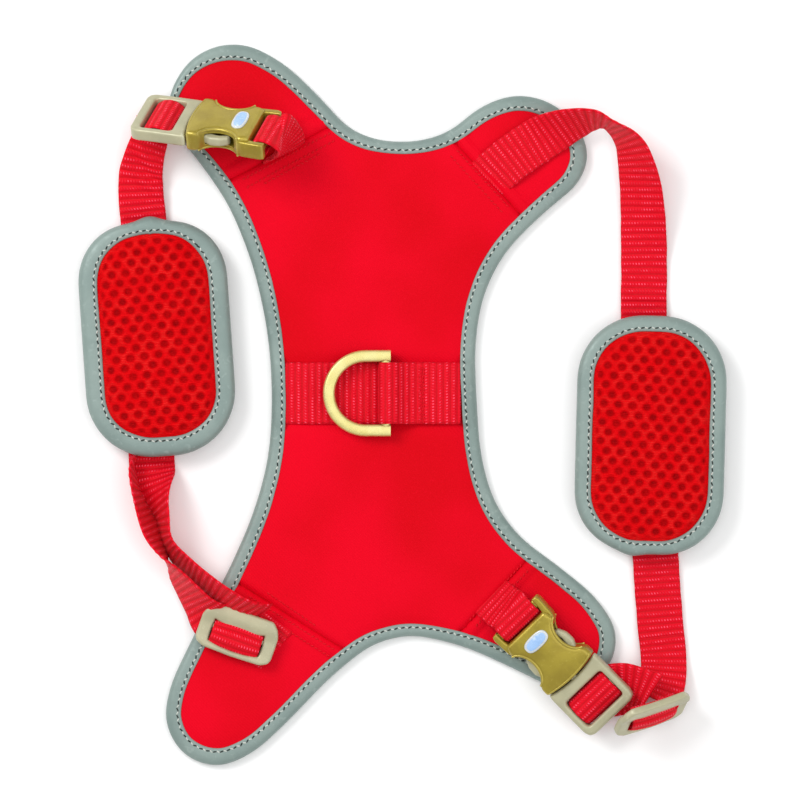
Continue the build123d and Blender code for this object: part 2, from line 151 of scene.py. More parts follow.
def make_webbing_material():
    """Ribbed nylon webbing: ribs across the strap, with painted shade in the grooves between them and rows of
    painted highlight, slanted like the yarns, on their crests.
    """
    s = Shader("webbing_red", (0.70, 0.0, 0.012), 0.5, Sheen_Weight=0.03, Specular_IOR_Level=0.10)
    along, across, where = s.weave_place()
    turn = s.math("MULTIPLY", along, 2 * math.pi / RIB_PITCH)
    rib = s.math("COSINE", turn)
    drift = s.cloud(0.22, 2, where)
    # Painted shade: the grooves between the ribs are tinted darker.
    s.tint(s.between(rib, -0.3, -1.0, 0, 0.6), (0.40, 0.0, 0.003))
    # Painted highlight: pale pink dashes on the rib crests, slanted like the yarns.
    slant = s.math("ADD", s.math("MULTIPLY", across, 2 * math.pi / 1.2), s.math("MULTIPLY", along, 1.5))
    yarn = s.math("COSINE", slant)
    crest = s.between(rib, 0.45, 0.95)
    dash = s.math("MULTIPLY", crest, s.between(yarn, -0.1, 0.7))
    lit = s.math("MULTIPLY", dash, s.between(drift, 0.42, 0.60, 0.15, 0.95))
    s.tint(lit, (0.95, 0.085, 0.15))
    fine = s.math("COSINE", s.math("MULTIPLY", across, 2 * math.pi / 0.6))
    s.tint(s.between(fine, 0.2, 1.0, 0, 0.12), (0.95, 0.02, 0.04))
    s.bump(s.math("MULTIPLY", s.between(yarn, -1, 1), s.between(rib, -0.8, 0.6)), 0.16)
    s.bump(fine, 0.03)
    s.rough(s.between(drift, 0.3, 0.7, 0.42, 0.62))
    return s.material


def make_face_material():
    """Smooth tricot-faced neoprene with a faint twill."""
    s = Shader("face_red", (0.70, 0.0, 0.012), 0.62, Sheen_Weight=0.01, Specular_IOR_Level=0.05)
    where = s.place()
    broad = s.cloud(0.018, 2, where)
    s.tint(s.between(broad, 0.35, 0.68, 0, 0.8), (0.56, 0.0, 0.004))
    grain = s.cloud(1.7, 3, where)
    s.tint(s.between(grain, 0.5, 0.75, 0, 0.2), (0.86, 0.008, 0.03))
    twill = s.bands(where, 0.42, 1.2, 1.0, "DIAGONAL")
    s.bump(twill, 0.06)
    s.bump(grain, 0.12)
    s.rough(s.between(grain, 0.3, 0.7, 0.54, 0.7))
    return s.material


def make_tape_material():
    """Smooth grey-green reflective binding, a little creased, with pale patches of painted highlight."""
    s = Shader("tape_grey", (0.225, 0.290, 0.268), 0.42, Metallic=0.12, Specular_IOR_Level=0.35)
    where = s.place()
    broad = s.cloud(0.05, 3, where)
    s.tint(s.between(broad, 0.35, 0.7, 0, 0.6), (0.165, 0.225, 0.21))
    # Painted highlight: pale patches over the tape.
    patch = s.cloud(0.35, 4, where, 0.6)
    s.tint(s.between(patch, 0.56, 0.72, 0, 0.3), (0.36, 0.44, 0.41))
    beads = s.cloud(9.0, 2, where)
    s.bump(s.cloud(0.5, 3, where, 0.4), 0.10)
    s.bump(beads, 0.012)
    s.rough(s.between(patch, 0.3, 0.7, 0.36, 0.55))
    return s.material


def make_lining_material():
    """Knitted lining of the underside, with small open cells in rows."""
    s = Shader("lining_red", (0.42, 0.002, 0.008), 0.8, Sheen_Weight=0.1, Specular_IOR_Level=0.15)
    where = s.place()
    cells = s.put("ShaderNodeTexVoronoi", {"Vector": where, "Scale": 0.42, "Randomness": 0.12}, 0)
    s.tint(s.between(cells, 0.42, 0.16), (0.10, 0.001, 0.003))
    broad = s.cloud(0.03, 2, where)
    s.tint(s.between(broad, 0.4, 0.7, 0, 0.5), (0.46, 0.01, 0.02))
    s.bump(s.between(cells, 0.16, 0.45), 0.35)
    s.bump(s.cloud(3.0, 2, where), 0.05)
    return s.material


def make_foam_material():
    """Cut foam core."""
    s = Shader("foam_core", (0.62, 0.58, 0.48), 0.9)
    where = s.place()
    cells = s.cloud(1.6, 4, where)
    s.tint(s.between(cells, 0.45, 0.7), (0.40, 0.36, 0.28))
    s.bump(cells, 0.3)
    return s.material


def make_mesh_material():
    """Air mesh of the pads: knitted strands between open holes; the holes are in the surface, with painted
    shade that darkens them by their depth, and painted highlight along the strands.
    """
    s = Shader("air_mesh_red", (0.74, 0.0, 0.003), 0.5, Specular_IOR_Level=0.06)
    where = s.place()
    depth = s.put("ShaderNodeAttribute", {}, "Fac", attribute_name="hole", attribute_type="GEOMETRY")
    patch = s.cloud(0.16, 3, where, 0.5)
    # Painted shade: the holes darken with their depth, and darker still, in patches, at their bottoms.
    s.tint(s.between(depth, 0.0, 0.9), (0.42, 0.0, 0.002))
    s.tint(s.math("MULTIPLY", s.between(depth, 0.55, 1.0), s.between(patch, 0.35, 0.65, 0.1, 0.85)),
           (0.24, 0.0, 0.002))
    fibres = s.cloud(2.2, 4, where, 2.0)
    s.tint(s.between(fibres, 0.42, 0.60, 0.35, 0.0), (0.58, 0.0, 0.0))
    yarn = s.bands(where, 0.51, 5.0, 2.0, "Y")
    # Painted highlight: thin bright orange-red lines on the strands between the holes.
    thin = s.math("MULTIPLY", s.between(yarn, 0.82, 0.98), s.between(s.cloud(0.13, 2, where), 0.42, 0.62))
    s.tint(s.math("MULTIPLY", thin, s.between(depth, 0.35, 0.0, 0, 0.45)), (0.96, 0.07, 0.05))
    s.bump(yarn, 0.16)
    s.bump(fibres, 0.2)
    return s.material


def make_hard_material(name, color, deep, pale, roughness, metallic, grain, **sockets):
    """Painted, moulded or cast surface: mottled colour, edge wear and a fine grain."""
    s = Shader(name, color, roughness, Metallic=metallic, **sockets)
    where = s.place()
    broad = s.cloud(0.11, 3, where)
    s.tint(s.between(broad, 0.35, 0.68, 0, 0.6), deep)
    scuff = s.cloud(0.9, 5, where, 0.8)
    s.tint(s.between(scuff, 0.60, 0.74, 0, 0.3), pale)
    ridge = s.put("ShaderNodeNewGeometry", {}, "Pointiness")
    s.tint(s.between(ridge, 0.52, 0.60, 0, 0.55), pale)
    s.rough(s.between(scuff, 0.3, 0.7, roughness - 0.06, roughness + 0.1))
    s.bump(s.cloud(2.4, 3, where), grain)
    return s.material


def make_thread_material(name, color, light):
    """Twisted sewing thread."""
    s = Shader(name, color, 0.55, Specular_IOR_Level=0.2)
    where = s.place()
    twist = s.bands(where, 1.3, 0.6, 1.0, "DIAGONAL")
    s.tint(s.between(twist, 0.3, 0.9, 0, 0.6), light)
    s.bump(twist, 0.08)
    return s.material


FACE = make_face_material()
WEBBING = make_webbing_material()
TAPE_GREY = make_tape_material()
LINING = make_lining_material()
FOAM = make_foam_material()
AIR_MESH = make_mesh_material()
SOCKET = make_hard_material("socket_gold", (0.37, 0.285, 0.026), (0.25, 0.18, 0.012), (0.62, 0.53, 0.13),
                            0.34, 0.55, 0.03, Coat_Weight=0.3, Coat_Roughness=0.2)
PLUG = make_hard_material("plug_beige", (0.42, 0.40, 0.255), (0.34, 0.33, 0.21), (0.60, 0.60, 0.43),
                          0.40, 0.15, 0.03, Coat_Weight=0.15, Coat_Roughness=0.3)
BRASS = make_hard_material("ring_brass", (0.66, 0.60, 0.25), (0.55, 0.47, 0.13), (0.80, 0.76, 0.42),
                           0.30, 0.45, 0.02)
BADGE_RIM = make_hard_material("badge_rim", (0.60, 0.64, 0.66), (0.46, 0.50, 0.53), (0.8, 0.83, 0.85),
                               0.28, 0.2, 0.01, Coat_Weight=0.5, Coat_Roughness=0.1)
BADGE_FIELD = make_hard_material("badge_field", (0.34, 0.52, 0.80), (0.22, 0.40, 0.72), (0.7, 0.80, 0.92),
                                 0.25, 0.0, 0.01, Coat_Weight=0.6, Coat_Roughness=0.08)
# Stitches come in two colours of one grey-green thread: the dark thread is painted shade, the pale thread
# painted highlight.
THREAD_SHADED = make_thread_material("thread_shaded", (0.018, 0.024, 0.022), (0.06, 0.07, 0.065))
THREAD_LIT = make_thread_material("thread_lit", (0.52, 0.56, 0.51), (0.74, 0.77, 0.72))
THREAD_RED = make_thread_material("thread_red", (0.66, 0.0, 0.008), (0.82, 0.004, 0.02))


# ---------------------------------------------------------------- mesh helpers
def new_piece(name, points, faces, material, uvs=None, marks=None):
    """A smooth-shaded mesh from points in mm; uvs and marks are given per point."""
    mesh = bpy.data.meshes.new(name)
    mesh.from_pydata((np.asarray(points, float) * MM).tolist(), [], [list(f) for f in faces])
    mesh.polygons.foreach_set("use_smooth", [True] * len(mesh.polygons))
    if uvs is not None:
        corners = np.zeros(len(mesh.loops), np.int32)
        mesh.loops.foreach_get("vertex_index", corners)
        layer = mesh.uv_layers.new(name="weave")
        layer.data.foreach_set("uv", (np.asarray(uvs, float)[corners] * MM).ravel())
    if marks is not None:
        layer = mesh.attributes.new("hole", "FLOAT", "POINT")
        layer.data.foreach_set("value", np.asarray(marks, np.float32))
    mesh.materials.append(material)
    mesh.update()
    obj = bpy.data.objects.new(name, mesh)
    bpy.context.scene.collection.objects.link(obj)
    return obj


def fix(piece, body, slot, *nodes):
    """Fixes a piece to a body, in place of the CAD nodes it stands for; the slot is not used."""
    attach(piece, body)
    if nodes:
        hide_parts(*nodes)


def join_pieces(name, parts):
    """Several meshes as one piece, each with its own material."""
    mesh = bpy.data.meshes.new(name)
    combined = bmesh.new()
    for part in parts:
        slot = mesh.materials.find(part.data.materials[0].name)
        if slot < 0:
            mesh.materials.append(part.data.materials[0])
            slot = len(mesh.materials) - 1
        before = len(combined.faces)
        combined.from_mesh(part.data)
        combined.faces.ensure_lookup_table()
        for face in combined.faces[before:]:
            face.material_index = slot
    combined.to_mesh(mesh)
    combined.free()
    for part in parts:
        bpy.data.objects.remove(part)
    obj = bpy.data.objects.new(name, mesh)
    bpy.context.scene.collection.objects.link(obj)
    return obj


def run_along(line):
    """Distance along a polyline at each of its points."""
    return np.concatenate([[0], np.cumsum(np.linalg.norm(np.diff(line, axis=0), axis=1))])


def unit(rows):
    """Each row at length one."""
    return rows / np.linalg.norm(rows, axis=1)[:, None]


def line_axes(start, end):
    """Unit vectors along a line and to its left, and the line's length."""
    along = np.array(end, float) - start
    length = np.linalg.norm(along)
    along = along / length
    return along, np.array([-along[1], along[0]]), length


def smooth_path(points, step):
    """Rows along a smooth curve through the given rows, about a step apart."""
    rows = np.array(points, float)
    knots = run_along(rows[:, :3])
    slopes = np.gradient(rows, knots, axis=0, edge_order=min(2, len(rows) - 1))
    places = np.linspace(0, knots[-1], max(3, round(knots[-1] / step) + 1))
    i = np.clip(np.searchsorted(knots, places) - 1, 0, len(knots) - 2)
    span = (knots[i + 1] - knots[i])[:, None]
    u = (places - knots[i])[:, None] / span
    return (
        (2 * u**3 - 3 * u**2 + 1) * rows[i]
        + (u**3 - 2 * u**2 + u) * span * slopes[i]
        + (3 * u**2 - 2 * u**3) * rows[i + 1]
        + (u**3 - u**2) * span * slopes[i + 1]
    )


def resample_loop(points, step, soften=1.5):
    """A closed outline as evenly spaced points, counter-clockwise, its small corners smoothed."""
    loop = np.array(points, float)
    x, y = loop[:, 0], loop[:, 1]
    if np.sum(x * np.roll(y, -1) - np.roll(x, -1) * y) < 0:
        loop = loop[::-1]
    closed = np.vstack([loop, loop[:1]])
    knots = run_along(closed)
    count = max(12, round(knots[-1] / step))
    places = np.arange(count) * knots[-1] / count
    even = np.column_stack([np.interp(places, knots, closed[:, k]) for k in (0, 1)])
    if soften:
        reach = 3 * soften
        offsets = np.arange(-int(reach / step) - 1, int(reach / step) + 2)
        weights = np.exp(-0.5 * (offsets * step / soften) ** 2)
        weights /= weights.sum()
        even = sum(w * np.roll(even, o, axis=0) for w, o in zip(weights, offsets))
    return even


def inward_normals(loop):
    """Unit normals that point into a counter-clockwise outline."""
    ahead = unit(np.roll(loop, -1, axis=0) - np.roll(loop, 1, axis=0))
    return np.column_stack([-ahead[:, 1], ahead[:, 0]])


def level_loops(node, level):
    """Outlines of a CAD node's flat face at a height, longest first."""
    mesh = frame["nodes"][node].data
    keys = [tuple(round(c / MM, 2) for c in v.co) for v in mesh.vertices]
    edges = Counter()
    for polygon in mesh.polygons:
        ring = [keys[i] for i in polygon.vertices]
        if all(abs(p[2] - level) < 0.03 for p in ring):
            edges.update(zip(ring, ring[1:] + ring[:1]))
    rim = {a: b for a, b in edges if (b, a) not in edges and a != b}
    loops = []
    while rim:
        start, here = rim.popitem()
        chain = [start]
        while here != start and here in rim:
            chain.append(here)
            here = rim.pop(here)
        loops.append(np.array(chain)[:, :2])
    return sorted(loops, key=lambda line: -run_along(line)[-1])


def inside(points, loop):
    """Which points lie inside a closed outline."""
    a, b = loop, np.roll(loop, -1, axis=0)
    px, py = points[:, 0, None], points[:, 1, None]
    crosses = (a[:, 1] > py) != (b[:, 1] > py)
    rise = np.where(b[:, 1] == a[:, 1], 1e-9, b[:, 1] - a[:, 1])
    at = a[:, 0] + (py - a[:, 1]) * (b[:, 0] - a[:, 0]) / rise
    return (crosses & (px < at)).sum(1) % 2 == 1


BATCH = 4000               # points measured at a time, to spare memory


def distance_to(points, lines, closed=True):
    """Distance from each point to the nearest of some polylines."""
    best = np.full(len(points), 1e9)
    for line in lines:
        a = line if closed else line[:-1]
        b = np.roll(line, -1, axis=0) if closed else line[1:]
        d = b - a
        size = np.maximum((d**2).sum(1), 1e-12)
        for start in range(0, len(points), BATCH):
            rows = points[start:start + BATCH]
            t = np.clip(((rows[:, None] - a) * d).sum(2) / size, 0, 1)
            gap = np.linalg.norm(rows[:, None] - a - t[..., None] * d, axis=2).min(1)
            best[start:start + BATCH] = np.minimum(best[start:start + BATCH], gap)
    return best


def in_region(points, loops):
    """Which points lie inside the first outline and outside the others."""
    good = inside(points, loops[0])
    for hole in loops[1:]:
        good &= ~inside(points, hole)
    return good


ROW_SHARE = 0.866          # distance between rows of equal triangles, as a share of their sides


def fill(loops, spacing, rings, extra=()):
    """Points and triangles over a region; the first loop is outside and the rest are holes.

    Each loop is repeated at the distances in rings; extra holds more lines of points to take in."""
    inner = []
    for index, loop in enumerate(loops):
        inward = inward_normals(loop) * (1 if index == 0 else -1)
        inner += [loop + inward * ring for ring in rings]
    low, high = loops[0].min(0), loops[0].max(0)
    grid = []
    for k, y in enumerate(np.arange(low[1], high[1], spacing * ROW_SHARE)):
        row = np.arange(low[0] + (k % 2) * spacing / 2, high[0], spacing)
        grid.append(np.column_stack([row, np.full(len(row), y)]))
    grid = np.vstack(grid)
    keep = distance_to(grid, loops) > rings[-1] + 0.55 * spacing
    if len(extra):
        keep &= distance_to(grid, extra, False) > 0.6 * spacing
    inner = np.vstack([*inner, *extra, grid[keep]])
    good = in_region(inner, loops) & (distance_to(inner, loops) > 0.3 * rings[0])
    cloud = np.vstack([*loops, inner[good]])
    edges = []
    start = 0
    for loop in loops:
        edges += [(start + k, start + (k + 1) % len(loop)) for k in range(len(loop))]
        start += len(loop)
    result = delaunay_2d_cdt([Vector(p) for p in cloud], edges, [], 0, 1e-6)
    flat = np.array([tuple(v) for v in result[0]])
    faces = np.array([f for f in result[2] if len(f) == 3])
    return flat, faces[in_region(flat[faces].mean(1), loops)]


def doubled_areas(flat, faces):
    """Twice each triangle's area, negative where it runs clockwise."""
    a, b, c = (flat[faces[:, k]] for k in range(3))
    return (b[:, 0] - a[:, 0]) * (c[:, 1] - a[:, 1]) - (b[:, 1] - a[:, 1]) * (c[:, 0] - a[:, 0])


def closed_body(name, flat, faces, top, bottom, material, marks=None):
    """A closed mesh between two heights over a triangulated region."""
    area = doubled_areas(flat, faces)
    faces = np.where((area < 0)[:, None], faces[:, ::-1], faces)[np.abs(area) > 1e-7]
    used = np.unique(faces)
    renumber = np.zeros(len(flat), int)
    renumber[used] = np.arange(len(used))
    faces = renumber[faces]
    flat, top, bottom = flat[used], top[used], bottom[used]
    count = len(flat)
    points = np.vstack([np.column_stack([flat, top]), np.column_stack([flat, bottom])])
    directed = Counter()
    for f in faces.tolist():
        directed.update([(f[0], f[1]), (f[1], f[2]), (f[2], f[0])])
    walls = [(a, a + count, b + count, b) for a, b in directed if (b, a) not in directed]
    everything = faces.tolist() + (faces[:, ::-1] + count).tolist() + walls
    if marks is not None:
        marks = np.concatenate([marks[used], np.zeros(count)])
    return new_piece(name, points, everything, material, marks=marks)


def plate(name, loops, thick, fillet, material, spacing=1.4, dome=0.0, camber=None):
    """A moulded plate with rounded edges, in its own plane; dome lifts the middle of both faces."""
    rings = [fillet * k for k in (0.08, 0.25, 0.5, 0.8, 1.15)]
    flat, faces = fill(loops, spacing, rings)
    edge = distance_to(flat, loops)
    drop = np.clip(fillet - edge, 0, None)
    half = thick / 2 - fillet + np.sqrt(np.maximum(fillet**2 - drop**2, 0))
    half = half + dome * (1 - np.exp(-((edge / 5) ** 2)))
    shift = camber(flat[:, 0], flat[:, 1]) if camber else 0
    return closed_body(name, flat, faces, half + shift, shift - half, material)


def tube_grid(rows, columns, closed_rows=False):
    """Quads over a grid of rings of points; every ring is closed."""
    faces = []
    last = rows if closed_rows else rows - 1
    for i in range(last):
        for j in range(columns):
            k = (j + 1) % columns
            n = (i + 1) % rows
            faces.append((i * columns + j, i * columns + k, n * columns + k, n * columns + j))
    if not closed_rows:
        faces.append(tuple(range(columns))[::-1])
        faces.append(tuple((rows - 1) * columns + j for j in range(columns)))
    return faces


def strap_section(thick):
    """A webbing section of width one with rounded selvedges: across, through, and weight of the ribs."""
    across = np.linspace(-1, 1, 22)
    top = [(v / 2, thick / 2 * (1 - abs(v) ** 14 * 0.55), 1 - abs(v) ** 14) for v in across]
    return np.array([*top, *[(x, -z, w) for x, z, w in top[::-1]]])


def webbing(names, stations, width=SIDE_WEB, thick=WEB, crease=None, cuts=()):
    """A strap through rows of centre and width direction, ribbed across, with soft wandering edges.

    With several names it is made in as many lengths, parted at the given distances along it."""
    names = [names] if isinstance(names, str) else names
    rows = smooth_path(stations, RIB_PITCH / 6)
    ahead = unit(np.gradient(rows[:, :3], axis=0))
    across = unit(rows[:, 3:6] - (rows[:, 3:6] * ahead).sum(1)[:, None] * ahead)
    normal = np.cross(across, ahead)
    run = run_along(rows[:, :3])
    section = strap_section(thick)
    wide = rows[:, 6] if rows.shape[1] > 6 else np.full(len(rows), width)
    rib = np.cos(2 * math.pi * run / RIB_PITCH)
    points, uvs = [], []
    seed = sum(map(ord, names[0])) * 0.37
    for i in range(len(rows)):
        wander = 0.16 * noise.noise(Vector((run[i] * 0.16, seed, 0)))
        lift = section[:, 1] + np.sign(section[:, 1]) * RIB_RELIEF * section[:, 2] * rib[i]
        sideways = section[:, 0] * wide[i] + wander
        if crease is not None:
            lift = lift + crease(run[i], sideways)
        points.append(rows[i, :3] + sideways[:, None] * across[i] + lift[:, None] * normal[i])
        uvs.append(np.column_stack([np.full(len(section), run[i]), sideways]))
    parts = [0, *[int(np.searchsorted(run, cut)) for cut in cuts], len(rows) - 1]
    made = []
    for name, first, last in zip(names, parts, parts[1:]):
        faces = tube_grid(last - first + 1, len(section))
        made.append(new_piece(name, np.vstack(points[first:last + 1]), faces, WEBBING,
                              uvs=np.vstack(uvs[first:last + 1])))
    return made if len(made) > 1 else made[0]


def stitches(name, path, pitch, length, radius, material, closed=False, slant=0.0, start=0.0):
    """A row of thread stitches along a path of points."""
    line = np.array(path, float)
    if closed:
        line = np.vstack([line, line[:1]])
    knots = run_along(line)
    places = np.arange(start * pitch, knots[-1] - length / 2, pitch)
    points, faces = [], []
    around = np.linspace(0, 2 * math.pi, 6, endpoint=False)
    profile = ((-1.0, 0.25), (-0.75, 0.75), (0, 1.0), (0.75, 0.75), (1.0, 0.25))
    for place in places:
        middle = np.array([np.interp(place, knots, line[:, k]) for k in range(3)])
        beyond = np.array([np.interp(place + 0.4, knots, line[:, k]) for k in range(3)])
        ahead = (beyond - middle) / max(np.linalg.norm(beyond - middle), 1e-9)
        side = np.cross((0, 0, 1), ahead)
        side /= max(np.linalg.norm(side), 1e-9)
        wobble = slant + 0.5 * noise.noise(Vector((place * 0.9, radius * 10, line[0, 0])))
        along = ahead * math.cos(wobble) + side * math.sin(wobble)
        side = np.cross((0, 0, 1), along)
        side /= max(np.linalg.norm(side), 1e-9)
        up = np.cross(along, side)
        first = len(points)
        for t, r in profile:
            for a in around:
                spoke = side * math.cos(a) + up * math.sin(a) * 0.8
                points.append(middle + along * t * length / 2 + spoke * r * radius)
        faces += [tuple(first + k for k in f) for f in tube_grid(len(profile), len(around))]
    return new_piece(name, points, faces, material)


def apply_modifiers(obj):
    """Replaces the mesh by its modified form."""
    graph = bpy.context.evaluated_depsgraph_get()
    mesh = bpy.data.meshes.new_from_object(obj.evaluated_get(graph))
    obj.modifiers.clear()
    obj.data = mesh
    return obj


def subdivide(obj):
    """Smooths a mesh by one level of subdivision."""
    soft = obj.modifiers.new("soft", "SUBSURF")
    soft.levels = soft.render_levels = 1
    return apply_modifiers(obj)


def subtract(obj, cutter):
    """Cuts one mesh out of another."""
    cut = obj.modifiers.new("cut", "BOOLEAN")
    cut.operation = "DIFFERENCE"
    cut.solver = "EXACT"
    cut.object = cutter
    apply_modifiers(obj)
    bpy.data.objects.remove(cutter)
    return obj


def put_at(obj, matrix):
    """Moves a mesh made in its own plane to its place in the frame."""
    obj.data.transform(matrix)
    return obj


def smooth_by_angle(obj, degrees=CREASE_ANGLE):
    """Shades a piece smooth, but for its sharper edges."""
    obj.data.polygons.foreach_set("use_smooth", [True] * len(obj.data.polygons))
    obj.data.set_sharp_from_angle(angle=math.radians(degrees))
    return obj


def soft_step(value, low, high):
    """Rises smoothly from 0 at low to 1 at high."""
    t = np.clip((value - low) / (high - low), 0, 1)
    return t * t * (3 - 2 * t)


# ---------------------------------------------------------------- back panel
SEAMS = {
    "upper_left": ((-65.5, 95.9), (-28.6, 115.7)),
    "upper_right": ((23.0, 109.7), (47.9, 82.1)),
    "lower_right": ((52.6, -64.5), (28.6, -90.4)),
    "lower_left": ((-24.9, -99.6), (-64.5, -74.7)),
}
# Where the binding covers more or less than usual: place, reach, change.
COVER = 6.4
COVER_CHANGES = (
    ((-97, 122), 24, -3.0), ((-70, 150), 16, 0.6), ((0, 109), 26, -1.1), ((79, 104), 18, 0.8),
    ((91, -96), 18, 0.6), ((4, -95), 26, -1.0), ((-78, -150), 18, 0.9), ((-53, 5), 30, -0.4),
)
STITCH_IN = 1.6            # from the tape's inner edge to its stitches
UNDER_TAPE = 2.0           # how far the cloths reach in under the tape


def cover_width(loop):
    """How far the binding reaches in over the face, at each point of the rim."""
    width = np.full(len(loop), COVER)
    for place, reach, change in COVER_CHANGES:
        width += change * np.exp(-(((loop - place) ** 2).sum(1)) / reach**2)
    return width


def strap_press(flat):
    """How much the cross webbing presses the face cloth down, 0 to 1."""
    return 1 - soft_step(abs(flat[:, 1] - CROSS_Y), CROSS_WEB / 2 + 0.2, CROSS_WEB / 2 + 3.5)


def wave(points, scale, seed=0.0):
    """Smooth noise from about -1 to 1 at each point."""
    return np.array([noise.noise(Vector((x * scale, y * scale, seed))) for x, y in points])


panel_rim = resample_loop(level_loops("panel_binding", FACE_TOP + TAPE)[0], 1.55, 2.0)
rim_inward = inward_normals(panel_rim)
cover = cover_width(panel_rim)
cloth_rim = resample_loop(panel_rim + rim_inward * cover[:, None], 2.0, 1.5)
hidden_rim = resample_loop(panel_rim + rim_inward * (cover[:, None] - UNDER_TAPE), 2.0, 1.5)


def face_height(flat):
    """Height of the face cloth: it rises from under the tape, and dips at seams and under webbing."""
    edge = distance_to(flat, [cloth_rim]) * np.where(inside(flat, cloth_rim), 1, -1)
    puff = 1.05 * (1 - np.exp(-np.clip(edge, 0, None) / 4.5)) + 0.28 * wave(flat, 0.035, 3.1)
    height = FACE_TOP - 0.12 + puff * soft_step(edge, -0.5, 3)
    for start, end in SEAMS.values():
        along, left, length = line_axes(start, end)
        side = (flat - start) @ left
        place = (flat - start) @ along / length
        near = soft_step(place, -0.35, -0.1) * (1 - soft_step(place, 1.1, 1.35))
        roll = 0.55 * np.exp(-((side - 3.1) / 1.5) ** 2) + 0.35 * np.exp(-((side + 2.9) / 1.6) ** 2)
        height += near * (roll - 1.15 * np.exp(-((side / 0.75) ** 2)))
        height -= near * 0.5 * np.exp(-(((side - 6.2) / 0.8) ** 2))
    press = strap_press(flat)
    bed = FACE_TOP - 0.25 - 0.75 * np.exp(-np.clip(edge, 0, None) / 3.5)
    height = height * (1 - press) + bed * press
    return np.where(edge < -0.2, np.minimum(height, FACE_TOP - 0.22), height)


SEAM_SPARE = 14            # how far fine points run on past a seam's ends
LOBE_REACH = 80            # a lobe lies within this distance of its seam's middle
CLOTH = 0.9                # thickness of the face cloth


def build_face():
    """The face cloth: a centre and four lobes, meeting in sewn grooves."""
    extra = []
    for start, end in SEAMS.values():
        along, _, length = line_axes(start, end)
        line = start + np.arange(-SEAM_SPARE, length + SEAM_SPARE, 1.6)[:, None] * along
        left = line_axes(line[0], line[-1])[1]
        extra += [line + left * k for k in (0, 0.6, -0.6, 1.3, -1.3, 2.2, -2.2, 3.3, -3.3, 5.2, 6.2, 7.2)]
    flat, faces = fill([hidden_rim], 2.3, (1.2, 2.2, 3.2, 4.4, 6.0), extra)
    top = face_height(flat)
    owner = np.full(len(faces), "centre", dtype=object)
    middle = flat[faces].mean(1)
    for lobe, (start, end) in SEAMS.items():
        side = (middle - start) @ line_axes(start, end)[1]
        near = np.linalg.norm(middle - np.mean([start, end], axis=0), axis=1) < LOBE_REACH
        owner[(side > 0) & near] = lobe
    for region in ["centre", *SEAMS]:
        own = faces[owner == region]
        cloth = closed_body(f"face_cloth_{region}", flat, own, top, top - CLOTH, FACE)
        fix(cloth, "panel", "face_cloth", f"face_{region}")
        low, high = (np.array(v[:2]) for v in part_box(f"face_{region}"))
        width, length = sorted(high - low)


def build_core_and_lining():
    """The foam core and the lining of the underside."""
    outline = resample_loop(panel_rim + rim_inward * 1.1, 2.4, 1.5)
    flat, faces = fill([outline], 4.0, (1.6, 3.6))
    core = closed_body("panel_core", flat, faces, face_height(flat) - 2.0, np.full(len(flat), 1.5), FOAM)
    fix(core, "panel", "foam", "panel_foam")
    flat, faces = fill([hidden_rim], 2.6, (1.0, 2.2, 3.6, 5.5))
    edge = distance_to(flat, [hidden_rim])
    sag = 0.62 - 0.58 * soft_step(edge, 1.6, 8.0) + 0.05 * wave(flat, 0.08, 8.2)
    lining = closed_body("lining_cloth", flat, faces, sag + 0.8, np.maximum(sag, 0.0), LINING)
    fix(lining, "panel", "lining", "panel_lining")


# Half section of a binding: share of the cover, height share, from the top's inner edge round
# to the bottom's inner edge.
TAPE_SECTION = (
    (1.00, 0.93), (0.86, 0.995), (0.66, 1.02), (0.45, 1.0), (0.28, 0.95), (0.14, 0.85), (0.05, 0.70),
    (0.0, 0.50), (0.04, 0.30), (0.13, 0.13), (0.27, 0.04), (0.5, 0.0), (0.8, 0.0), (1.0, 0.02),
)
# The same way back, along the inside of the fold.
TAPE_BACK = (
    (1.0, 0.06), (0.5, 0.05), (0.28, 0.1), (0.17, 0.25), (0.13, 0.5), (0.18, 0.72), (0.3, 0.84),
    (0.6, 0.90), (1.0, 0.82),
)


def binding(name, loop, covers, base, rise, body, node, lift=None, ripple=0.10):
    """Tape folded round a rim: a closed channel that follows the outline, stitched near its inner edge."""
    inward = inward_normals(loop)
    run = np.arange(len(loop)) * np.linalg.norm(loop[1] - loop[0])
    thickness = min(TAPE, rise * 0.12)
    points, stitch_line = [], []
    for i in range(len(loop)):
        wide = covers[i]
        extra = lift[i] if lift is not None else 0.0
        wobble = ripple * noise.noise(Vector((run[i] * 0.35, base, 5.0)))
        inner_wobble = 0.22 * noise.noise(Vector((run[i] * 0.12, base, 9.0)))
        ring = []
        for share, height in TAPE_SECTION:
            inset = share * wide + inner_wobble * share * (height > 0.5)
            z = base + height * rise + (extra + wobble) * (height > 0.6) * share
            from_stitch = inset - (wide - STITCH_IN)
            if height > 0.6:
                z -= 0.22 * math.exp(-((from_stitch / 0.8) ** 2))
            ring.append((inset, z))
        for share, height in TAPE_BACK:
            z = base + height * rise + extra * (height > 0.6) * share
            z += thickness * 0.35 if height < 0.3 else 0
            ring.append((share * wide, z))
        for inset, z in ring:
            points.append((*(loop[i] + inward[i] * inset), z))
        seat = base + rise + extra * 0.8 - 0.10
        stitch_line.append((*(loop[i] + inward[i] * (wide - STITCH_IN)), seat))
    columns = len(TAPE_SECTION) + len(TAPE_BACK)
    tape = subdivide(new_piece(name, points, tube_grid(len(loop), columns, True), TAPE_GREY))
    # Dark stitches are painted shade; the pale ones between them are painted highlight.
    dark = stitches(name + "_a", stitch_line, 2.9, 1.7, 0.34, THREAD_SHADED, True, 0.35)
    pale = stitches(name + "_b", stitch_line, 2.9, 1.5, 0.33, THREAD_LIT, True, -0.5, 0.5)
    thread = join_pieces(name + "_thread", [dark, pale])
    fix(tape, body, "binding", node)
    fix(thread, body, "binding")


